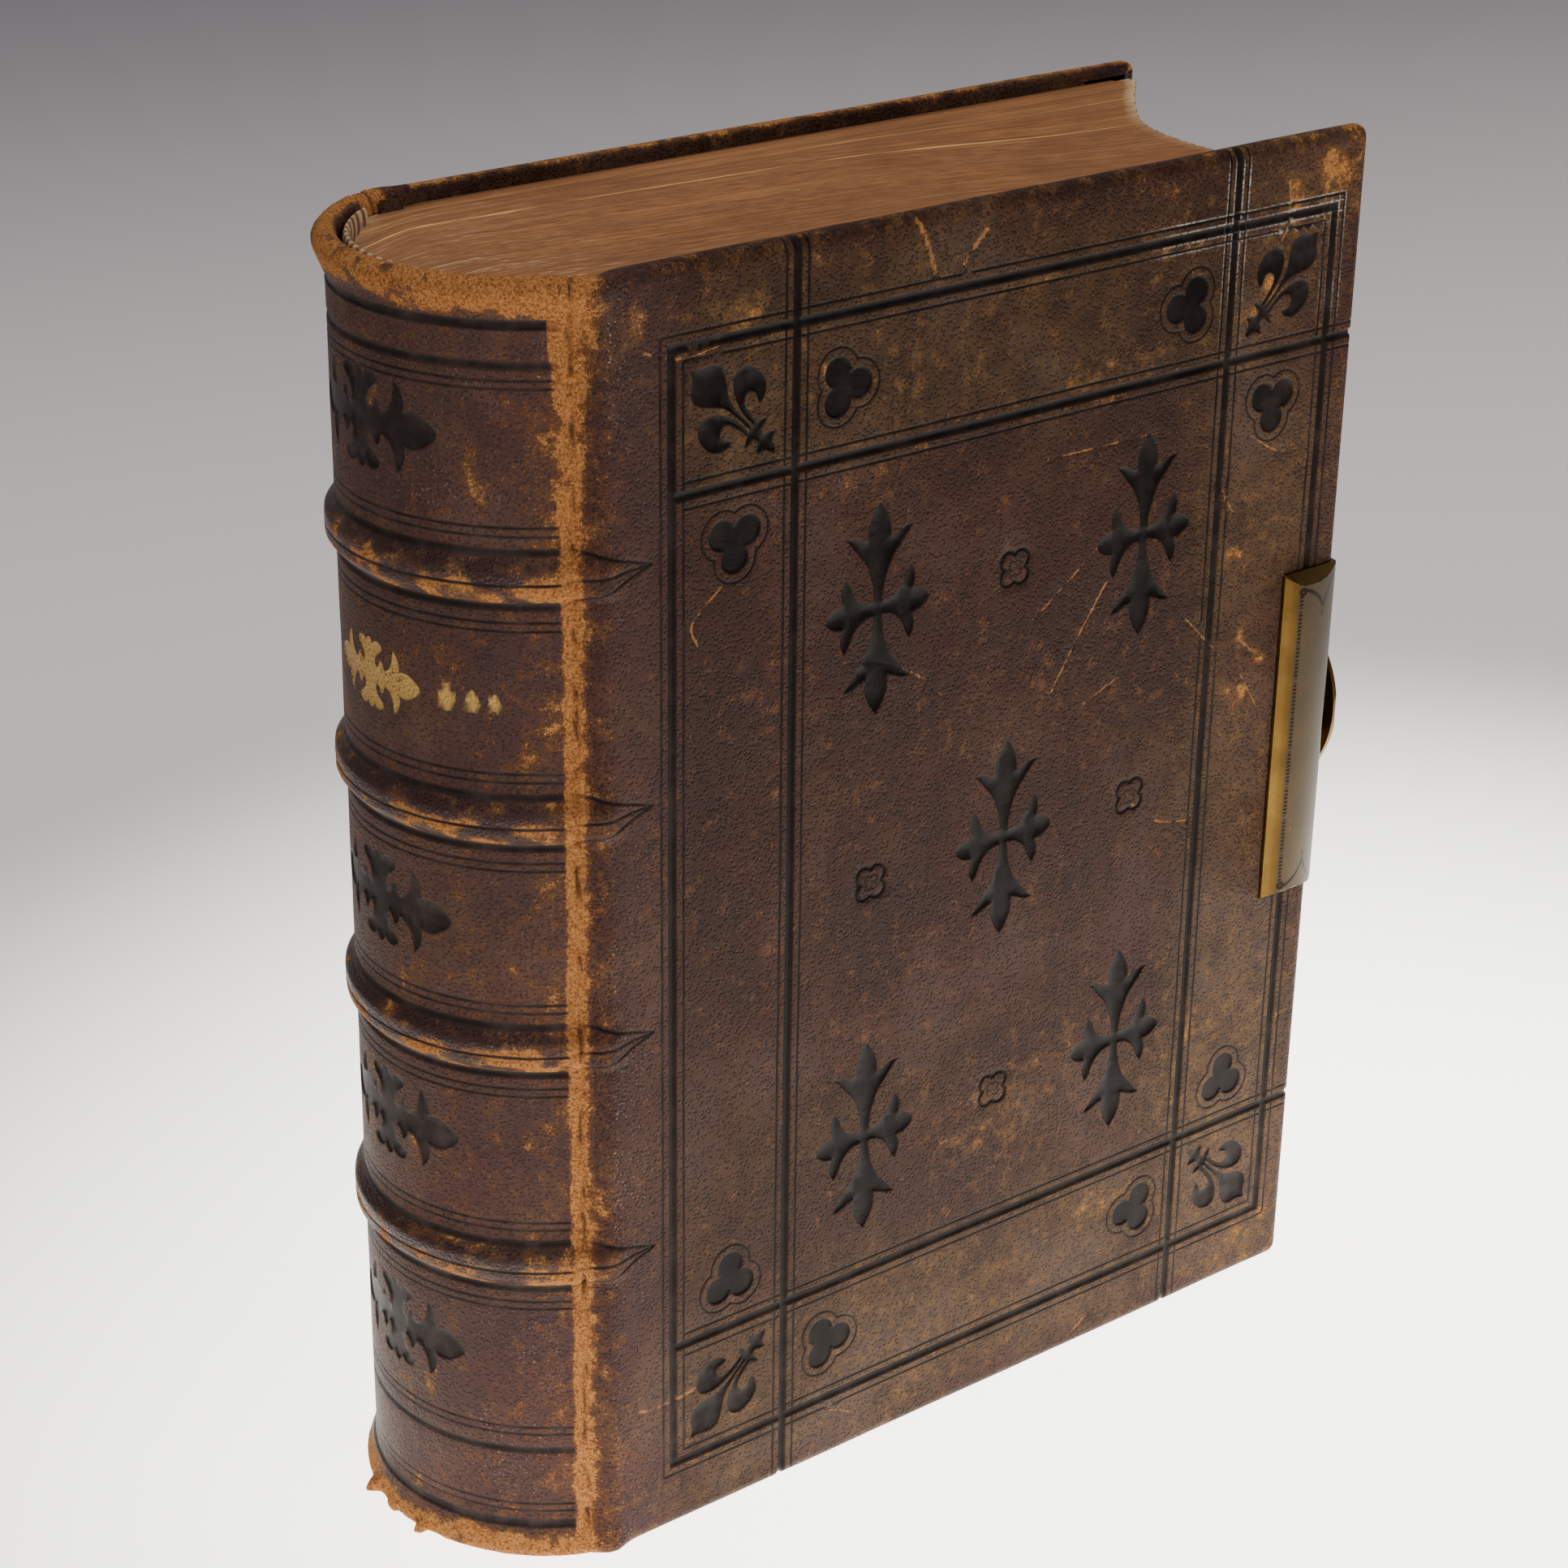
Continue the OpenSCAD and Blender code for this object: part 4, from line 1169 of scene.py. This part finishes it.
def spine_wear(phi, t, place):
    """Wear and polish on the spine: caps bare, bands glossy above and cracked to tan below."""
    drawn = place * (0.45, 0.45, 1.0)
    patch = wobble(drawn, 4.0, 3.0)
    broad = wobble(place, 24.0, 8.0)
    streaks = wobble(place * (1.0, 1.0, 0.3), 7.0, 11.0)
    upper, below = np.zeros(len(t)), np.zeros(len(t))
    for z in BANDS:
        d = t - z
        upper = np.maximum(upper, smooth(-1.6, 0.2, d) * smooth(6.4, 4.6, d))
        below = np.maximum(below, smooth(-6.6, -4.8, d) * smooth(1.8, -0.4, d))
    head = smooth(BOOK_H - 9.5, BOOK_H - 5.0, t + 3.0 * broad) * smooth(BOOK_H + 5.0, BOOK_H + 3.0, t)
    tail = smooth(8.0, 3.0, t + 4.0 * broad)
    ends = np.maximum(head, tail)
    side = smooth(46, 60, np.abs(phi))
    wear = 0.10 + 0.16 * broad + 0.22 * side + 0.30 * smooth(0.30, 0.62, streaks)
    wear += below * (0.40 + 0.95 * patch) + upper * (0.05 + 0.55 * patch)
    wear += ends * (0.85 + 0.65 * wobble(place, 6.0, 21.0))
    polish = np.clip(upper * (1.0 - 1.1 * patch) + 0.7 * below * (0.5 - patch), 0, 1)
    polish *= (1 - ends) * (1 - 0.7 * side)
    polish = np.maximum(polish, smooth(BOOK_H + 3.4, BOOK_H + 5.0, t))
    return wear, polish


def spine_fleck_glint(place, t):
    """Pale flecks in the grain of the lowest and highest panels, partly a painted sheen."""
    level = smooth(80, 50, t) * smooth(10, 25, t) + 0.6 * smooth(255, 275, t)
    return np.clip(level * (0.3 + 1.2 * wobble(place, 20.0, 33.0)), 0, 1)


TORN_FLAPS = ((14.0, 3.2, 3.4), (-12.0, 2.0, 2.4), (2.0, 3.5, 1.0))   # degrees, half width, length


def stamp_spine(tooling):
    """A scroll in each panel, and in the gilt one a smaller scroll between lozenges."""
    for z in ORNAMENT_Z:
        tooling.stamp(turned(SCROLL, (0, z)))
    title_z = (BANDS[3] + BANDS[2]) / 2
    tooling.stamp(turned(SCROLL, (0, title_z), size=0.72), 0.2, gilt=True)
    for s in (-1, 1):
        for x, size in ((23.0, 1.0), (29.0, 0.8), (34.0, 0.62)):
            tooling.stamp(turned(LOZENGE, (s * x, title_z), size=size), 0.15, gilt=True)


def torn_rim(phi, surface):
    """How far torn flaps stand out along the spine's tail."""
    torn = np.zeros(len(phi))
    for at, wide, out in TORN_FLAPS:
        torn += out * smooth(wide, 0.2 * wide, np.abs(phi - at)) * smooth(4.2, 0.3, surface[:, 2])
    return torn * (1 + 0.5 * wobble(surface, 2.2, 41.0))


def add_spine_leather():
    """The leather over the spine, from cap to cap."""
    tooling, rows = spine_tooling(-SPINE_R * math.radians(64), SPINE_R * math.radians(64))
    stamp_spine(tooling)
    reach = SPINE_R * SEAM_PHI
    grid = grid_points(np.linspace(-reach, reach, 80), spine_rows(rows))
    near = tooling.support(np.array([-reach, 0.0]), np.array([reach, BOOK_H]))
    flat, faces = triangulate(np.vstack([grid, near]))
    depth, black, gold = tooling.press(flat)
    surface = spine_surface(flat)
    phi = np.degrees(flat[:, 0] / SPINE_R)
    wear, polish = spine_wear(phi, flat[:, 1], surface)
    nap = 0.30 * wobble(surface, 2.6, 5.0) * np.clip(wear - 0.5, 0, 1)
    rise = 0.12 * wobble(surface, 18.0, 6.0) + nap + torn_rim(phi, surface) - depth
    points = surface + outward(spine_surface, flat, (0, 160), (-1, 0, 0)) * rise[:, None]
    points[:, 2] = np.maximum(points[:, 2], 0.05)   # a torn flap lies on the table
    # pale lightens the whole spine's leather, as painted light
    piece = add_piece("spine_cover", points, faces, "leather", {
        "tool": black, "wear": wear, "gilt": gold, "polish": polish,
        "olive": np.clip(0.15 + 0.4 * wobble(surface, 26.0, 27.0), 0, 1),
        "pale": np.full(len(flat), 0.85), "frost": spine_fleck_glint(surface, flat[:, 1])})
    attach(piece, "book_block")
    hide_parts("spine_leather")


def joint_wear(flat, surface, share):
    """Wear of a joint's leather, its bare strip, and the crack along the strip. share is how far
    each point belongs to the spine."""
    x, t = flat[:, 0], flat[:, 1]
    level = np.stack([t * 0.0, t * 0.0, t], 1)
    crack_x = -0.7 + 0.6 * wobble(level, 23.0, 2.0) + 0.55 * wobble(level, 4.0, 12.0)
    crack = smooth(0.75, 0.1, np.abs(x - crack_x)) * np.clip(0.5 + 1.3 * wobble(surface, 8.0, 9.0), 0, 1)
    edge = 0.5 * wobble(surface, 7.0, 19.0) + 2.4 * smooth(282, 314, t)
    strip = smooth(-3.8 - edge, -2.3 - edge, x) * smooth(2.4 + edge, -0.8 + edge, x)
    spine_part, _ = spine_wear(np.full(len(t), 57.0), t, surface)
    cover_part = cover_wear(np.stack([np.maximum(x, 4.0), t], 1), 4.0)
    wear = share * spine_part + (1 - share) * cover_part
    wear = wear * (1 - strip) + strip * (0.95 + 0.22 * wobble(surface, 3.5, 14.0))
    return wear, strip, crack


def add_joint_leather(name, is_back):
    """The flexible leather over one joint, in one piece from the spine to the cover."""
    start = SPINE_CY - SPINE_R * math.sin(SEAM_PHI)
    if is_back:
        start = BOOK_T - (SPINE_CY + SPINE_R * math.sin(SEAM_PHI))
    surface_of = make_joint_surface(start)
    tooling, rows = spine_tooling(-OFF_EDGE, -3.0)
    arrows(tooling)
    xs = np.concatenate([np.arange(SEAM_X, 2.0, 0.5), np.arange(2.0, SEAM, 0.7), [SEAM]])
    near = tooling.support(np.array([SEAM_X, 0.0]), np.array([SEAM, BOOK_H]))
    flat, faces = triangulate(np.vstack([grid_points(xs, spine_rows(rows)), near]))
    depth, black, _ = tooling.press(flat)
    surface, x = surface_of(flat), flat[:, 0]
    share = smooth(5.0, -3.5, x)
    wear, strip, crack = joint_wear(flat, surface, share)
    rise = 0.35 * wobble(surface, 2.6, 15.0, 2) * strip - 0.9 * crack - depth
    points = surface + outward(surface_of, flat, (8, 160), (0, -1, 0)) * rise[:, None]
    points, faces = on_side(points, faces, is_back)
    cover_flat = np.stack([np.maximum(x, 3.5), flat[:, 1]], 1)
    # pale: painted light, full on the spine's side and as on the cover beside it
    piece = add_piece(name, points, faces, "leather", {
        "tool": np.clip(black * (1 - 0.85 * strip) + 0.6 * smooth(0.4, 0.9, crack), 0, 1),
        "wear": wear, "frost": cover_fleck_glint(cover_flat) * smooth(3.0, 6.0, x),
        "olive": cover_fading(cover_flat, 4.0) * (1 - share),
        "pale": 0.85 * share + cover_paleness(cover_flat) * (1 - share)})
    bend(piece, (-2.6, start * 0.8, 0), (6.5, 0.2, 0), is_back)


add_spine_leather()
add_joint_leather("front_joint_leather", False)
add_joint_leather("back_joint_leather", True)


# ---------------------------------------------------------------- leaves

BLOCK_Y0, BLOCK_Y1 = (block_low.y - JOINT.y) / MM, (rear_high.y - JOINT.y) / MM
BLOCK_Z0, BLOCK_Z1 = block_low.z / MM, block_high.z / MM
BLOCK_R = 40.45
FORE = np.array([(6.8, 226), (10, 219), (15, 211.5), (22, 206.6), (32, 205.2), (42, 205.6), (53, 208),
                 (63, 212.7), (72, 219.5), (78.5, 226), (81.8, 226.6)])


def add_text_block():
    """The closed leaves: rounded back, hollow fore-edge, middle leaves sagging at the fore-edge."""
    ys = np.linspace(BLOCK_Y0, BLOCK_Y1, 420)
    across = (ys - BLOCK_Y0) / (BLOCK_Y1 - BLOCK_Y0)
    ragged = (rng.normal(0, 0.07, len(ys)) + 0.10 * np.sin(across * 24 * 2 * math.pi))[:, None]
    fore = spline(FORE, 0.5)
    fore_x = (np.interp(ys, fore[:, 0], fore[:, 1]) + rng.normal(0, 0.10, len(ys)))[:, None]
    back_x = (SPINE_CX - np.sqrt(BLOCK_R ** 2 - (ys - SPINE_CY) ** 2))[:, None]
    ys = ys[:, None]
    x = back_x + (fore_x - back_x) * np.linspace(0, 1, 56)
    leaf = ys - 12.5 * np.clip((208 - x) / 212, 0, 1) ** 1.5 * (4 * across * (1 - across))[:, None]
    sag = 4.6 * smooth(95, 215, x) * smooth(80, 58, ys) * smooth(8.0, 16.0, ys)
    dip = smooth(20, 0, x - back_x) * (0.7 + 2.6 * smooth(40, 60, ys) * smooth(80, 70, ys))
    top, foot = BLOCK_Z1 - sag + ragged - dip, BLOCK_Z0 - 0.7 * sag + ragged
    head_age = np.maximum(smooth(4.0, 0.5, fore_x - x) * (0.25 + 0.7 * smooth(58, 72, ys)),
                          smooth(6.0, 0.0, x - back_x) * 0.35)

    def rising(low, high):
        return low + (high - low) * np.linspace(0, 1, 26)

    sides = (                                        # x, y, z, leaf, age, turned inside out
        (x, ys, top, leaf, head_age, False), (x, ys, foot, leaf, 0.2, True),
        (fore_x + 0.25 * np.sin(ys * 2.03), ys, rising(foot[:, -1:], top[:, -1:]), leaf[:, -1:], 0.45, True),
        (back_x, ys, rising(foot[:, :1], top[:, :1]), leaf[:, :1], 0.8, False),
        (x[:1].T, ys[:1], rising(foot[:1].T, top[:1].T), 0.0, 1.0, True),
        (x[-1:].T, ys[-1:], rising(foot[-1:].T, top[-1:].T), 0.0, 1.0, False))
    rows, faces = [], []
    for *values, inside_out in sides:
        values = np.broadcast_arrays(*values)
        quads = np.array(grid_faces(*values[0].shape)) + sum(len(r) for r in rows)
        faces += (quads[:, ::-1] if inside_out else quads).tolist()
        rows.append(np.stack(values, -1).reshape(-1, 5))
    rows = np.vstack(rows)
    points, leaves = rows[:, :3], rows[:, 3]

    def line_at(share, half, soft):
        return smooth(half, soft, np.abs(leaves - BLOCK_Y0 - share * (BLOCK_Y1 - BLOCK_Y0)))

    bright = line_at(0.69, 0.42, 0.16) * (0.75 + 0.5 * wobble(points, 25.0, 1.0))
    for share, strength in ((0.86, 0.30), (0.45, 0.16), (0.93, 0.22)):
        bright = np.maximum(bright, strength * line_at(share, 0.30, 0.12))
    piece = add_piece("text_block", points, faces, "edge", {
        "leaf": leaves, "age": rows[:, 4], "bright": np.clip(bright, 0, 1),
        "torn": 0.65 * smooth(36, 0, points[:, 0]) * (points[:, 2] > BLOCK_Z1 - 6)})
    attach(piece, "book_block")
    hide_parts("old_testament_gatherings", "new_testament_gatherings")


add_text_block()


def add_end_band(name, node, z, up):
    """A silk band sewn over a cord along the end of the spine, striped and ribbed."""
    arc = np.linspace(-math.radians(57), math.radians(57), 420)
    ring = np.linspace(0, 2 * math.pi, 18, endpoint=False)
    radius = BLOCK_R - 0.9
    pitch = 1.75
    s = arc * radius
    rib = 0.16 * np.abs(np.sin(math.pi * s / pitch))[:, None]
    half = 0.9 + 2.0 * smooth(0.15, 0.55, arc)[:, None] + rib + 0.1 * np.sin(s * 0.31)[:, None]
    r = radius + (0.75 + rib) * np.cos(ring)[None]
    pz = z + up * (2.1 - half) + half * np.sin(ring)[None]
    px, py = SPINE_CX - r * np.cos(arc)[:, None], SPINE_CY + r * np.sin(arc)[:, None]
    points = np.stack([px, py, pz + 0 * px], -1).reshape(-1, 3)
    stripe = np.repeat(((np.floor(s / pitch) % 2) > 0.5).astype(float), len(ring))
    piece = add_piece(name, points, grid_faces(len(arc), len(ring), True), "silk", {"stripe": stripe})
    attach(piece, "book_block")
    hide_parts(node)


add_end_band("head_band_silk", "head_band", BLOCK_Z1 + 0.4, 1)
add_end_band("tail_band_silk", "tail_band", BLOCK_Z0 - 0.4, -1)


# ---------------------------------------------------------------- clasp

DOME_R, DOME_CX, DOME_CY = 19.5, COVER_W - 12.0, 15.3
PLATE_X0 = COVER_W - 19.0                            # the plate's edge on the cover's face
BEVEL_W = 2.5                                        # width of the bevel beside that edge
BEVEL_END = 2.6                                      # and of the mitred bevels at both ends
DOME_A0 = -math.acos((PLATE_X0 + BEVEL_W - DOME_CX) / DOME_R)
DOME_A1 = math.radians(-26.8)                        # where the dome ends over the fore-edge
PLATE_T = 1.5
SCOOP_R, SCOOP_Y = 33.5, 33.0                        # the thumb scoop's circle


def plate_path():
    """Plan of a plate's outside: bevel, then the dome, and what it stands on below each point."""
    a = np.linspace(DOME_A0, DOME_A1, 60)
    dome = np.stack([DOME_CX + DOME_R * np.cos(a), DOME_CY + DOME_R * np.sin(a)], 1)
    bevel = np.linspace((PLATE_X0, 0.0), (PLATE_X0 + 0.15, -0.9), 3, endpoint=False)
    slope = np.linspace((PLATE_X0 + 0.15, -0.9), dome[0], 9, endpoint=False)
    path = np.vstack([bevel, slope, dome])
    base_x = np.minimum(path[:, 0], COVER_W)
    edge = COVER_W - np.clip(COVER_W - path[:, 0], 0, 3.0)
    base_y = 3.0 - np.sqrt(np.maximum(9.0 - (edge - (COVER_W - 3.0)) ** 2, 0))
    base_y = np.maximum(base_y, np.where(path[:, 0] >= COVER_W, path[:, 1], -9))
    return path, np.stack([base_x, base_y], 1)


def engraving(p):
    """Cut lines on the dome: a row of ticks beside the bevel, a loop and an ogee at each end. p is
    length round the dome from the bevel, and height from the plate's middle."""
    end = PLATE_H / 2
    ticks = smooth(0.72, 0.40, np.abs(p[:, 0] - 1.0)) * (np.sin(p[:, 1] * 6.2) > -0.4) * (
        np.abs(p[:, 1]) < end - 4.6)
    ogee = np.vstack([spline([(1.3, 3.8), (4.0, 4.7), (7.0, 6.8), (9.2, 9.8)], 0.25),
                      spline([(9.2, 9.8), (11.0, 6.6), (14.0, 3.6), (18.5, 1.2)], 0.25)])
    turn = np.linspace(0, 2 * math.pi, 16)
    loop = np.stack([1.4 + 0.75 * np.cos(turn), 4.4 + 0.75 * np.sin(turn)], 1)
    dots = np.array([(9.2, 11.2), (9.2, 12.0)])
    drawn = np.vstack([ogee, loop, dots])
    down = end - np.abs(p[:, 1])
    cut = ticks.astype(float)
    near = (down < 14) & (p[:, 0] > 0) & (p[:, 0] < 22)
    gap = np.linalg.norm(np.stack([p[near, 0], down[near]], 1)[:, None] - drawn[None], axis=2).min(1)
    cut[near] = np.maximum(cut[near], smooth(0.66, 0.30, gap))
    return cut


def crease_shade(x):
    """Painted shade in the crease between the bevel and the dome."""
    inner = PLATE_X0 + BEVEL_W
    return smooth(inner - 1.6, inner - 0.4, x) * smooth(inner + 0.3, inner - 0.1, x)


def scooped_end(path, length, z):
    """Length along the plate's section at height z, up to where the thumb scoop cuts it off."""
    if abs(z) >= SCOOP_R:
        return length[-1]
    rim = SCOOP_Y - math.sqrt(SCOOP_R ** 2 - z * z)
    past = np.where((path[:, 1] > rim) & (path[:, 0] > DOME_CX + 5))[0]
    if not len(past):
        return length[-1]
    i = past[0]
    t = (rim - path[i - 1, 1]) / (path[i, 1] - path[i - 1, 1])
    return length[i - 1] + t * (length[i] - length[i - 1])


def add_plate(name, node, body):
    """A domed brass plate with a mitred bevel on three sides and a scooped rim at the fourth."""
    path, base = plate_path()
    length = by_length(path)
    start = length[12]                               # where the dome begins
    ends = np.arange(0, 5, 0.4)
    zs = np.unique(np.concatenate([np.linspace(-PLATE_H / 2, PLATE_H / 2, 261),
                                   ends - PLATE_H / 2, PLATE_H / 2 - ends]))
    points, flat, bevelled = [], [], []
    for z in zs:
        end = scooped_end(path, length, z)
        at = np.concatenate([length[:12], np.linspace(start, end - 0.7, 84), [end - 0.35, end]])
        outer = np.stack([np.interp(at, length, path[:, 0]), np.interp(at, length, path[:, 1])], 1)
        under = np.stack([np.interp(at, length, base[:, 0]), np.interp(at, length, base[:, 1])], 1)
        lift = np.linalg.norm(outer - under, axis=1)
        allow = max(PLATE_H / 2 - abs(z), 0) * 4.1 / BEVEL_END
        keep = np.minimum(1.0, allow / np.maximum(lift, 1e-6))
        pos = under + (outer - under) * keep[:, None]
        flat.append(np.column_stack([at - start, np.full(len(at), z), end - at]))
        bevelled.append(smooth(0.99, 0.90, keep))
        points.append(np.column_stack([pos, np.full(len(pos), CLASP_Z + z)]))
    faces = grid_faces(len(zs), len(points[0]))
    points, flat = np.vstack(points), np.vstack(flat)
    x, z = points[:, 0], np.abs(flat[:, 1])
    film = smooth(PLATE_X0 + BEVEL_W - 0.3, PLATE_X0 + BEVEL_W + 0.2, x)
    film *= smooth(PLATE_H / 2 - 0.6, PLATE_H / 2 - 1.2, z) * (1 - np.concatenate(bevelled))
    film *= np.where(z < SCOOP_R - 2, smooth(1.2, 2.0, flat[:, 2]), 1)
    # cut holds the engraved lines and the painted shade along the bevel's crease
    piece = add_piece(name, points, faces, "brass", {
        "film": film, "cut": np.maximum(engraving(flat[:, :2]), 0.35 * crease_shade(x))}, crease=14)
    shell = piece.modifiers.new("sheet", "SOLIDIFY")
    shell.thickness = PLATE_T * MM
    shell.offset = -1
    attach(piece, body)
    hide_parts(node)


add_plate("catch_plate_dome", "catch_plate", "front_cover")


# ---------------------------------------------------------------- inner joints

INNER_Y = COVER_T + 1.6


def add_inner_joint(name, is_back):
    """A dark cloth strip from the block's shoulder to the board's inner face."""
    xs, zs = np.linspace(1.6, 15.0, 20), np.linspace(1.6, BOOK_H - 1.6, 60)
    x, z = grid_points(xs, zs).T
    points = np.stack([x, INNER_Y - 1.35 * smooth(0.25, 0.9, (x - 1.6) / 13.4), z], 1)
    faces = [tuple(reversed(f)) for f in grid_faces(len(zs), len(xs))]
    points, faces = on_side(points, faces, is_back)
    piece = add_piece(name, points, faces, "leather", {
        "wear": np.full(len(points), 0.05), "olive": np.full(len(points), 0.8)})
    shell = piece.modifiers.new("cloth", "SOLIDIFY")
    shell.thickness = 0.3 * MM
    bend(piece, (2.4, INNER_Y, 0), (8.0, INNER_Y - 1.0, 0), is_back)


add_inner_joint("front_inner_joint", False)
add_inner_joint("back_inner_joint", True)


# ---------------------------------------------------------------- CAD nodes that stay

def add_board(name, node, body, is_back):
    """A millboard with rounded corners and edges, a little inside the leather that covers it."""
    inset, soft, corner = 1.6, 1.0, 4.0
    x0, x1 = BOARD_X + 0.5 + corner, COVER_W - inset - corner
    z0, z1 = inset + corner, BOOK_H - inset - corner
    rings = []
    for y, shrink in ((1.5, soft), (1.8, 0.3), (2.3, 0), (3.1, 0), (3.5, 0.3), (3.7, soft)):
        for middle, quarter in (((x1, z1), 0), ((x0, z1), 1), ((x0, z0), 2), ((x1, z0), 3)):
            a = (quarter + np.linspace(0, 1, 9)) * math.pi / 2
            arc = np.array(middle) + (corner - shrink) * np.stack([np.cos(a), np.sin(a)], 1)
            rings.append(np.column_stack([arc[:, 0], np.full(9, y), arc[:, 1]]))
    faces = grid_faces(6, 36, True) + [tuple(range(35, -1, -1)), tuple(range(5 * 36, 6 * 36))]
    points, faces = on_side(np.vstack(rings), faces, is_back)
    piece = add_piece(name, points, faces, "board", crease=40)
    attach(piece, body)
    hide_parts(node)


add_board("front_millboard", "front_board", "front_cover", False)
add_board("back_millboard", "back_board", "back_cover", True)

HASP_INNER = (stud_high.x - JOINT.x) / MM + 0.7        # the hasp's face towards the leaves

CARRIED = {
    "front_pastedown": "endpaper",
    "back_pastedown": "endpaper", "front_flyleaf": "endpaper", "rear_flyleaf": "endpaper",
    "frontispiece_leaf": "paper", "title_leaf": "paper", "last_leaf": "paper",
    "sewing_cords": "hemp", "kettle_stitches": "hemp", "cap_cords": "hemp", "spine_lining": "linen",
    "hollow_tube": "kraft", "spine_card": "kraft", "raised_band_strips": "kraft",
    "catch_plate_pins": "brass", "catch_block": "brass", "catch_stud": "brass",
    "hinge_plate": "brass", "hinge_plate_pins": "brass", "hinge_pin": "brass", "hasp": "brass"}


def dress_carried():
    """Gives each CAD node that is shown its material, and the rest positions it reads."""
    for node, material in CARRIED.items():
        mesh = frame["nodes"][node].data
        mesh.materials.clear()
        mesh.materials.append(MATERIALS[material])
        co = np.zeros(len(mesh.vertices) * 3, np.float32)
        mesh.vertices.foreach_get("co", co)
        place = (co.reshape(-1, 3) - np.array(JOINT, np.float32)) / MM
        write_attribute(mesh, "rest", place)
        if node == "hasp":
            write_attribute(mesh, "patina", place[:, 0] < HASP_INNER + 0.4)


dress_carried()
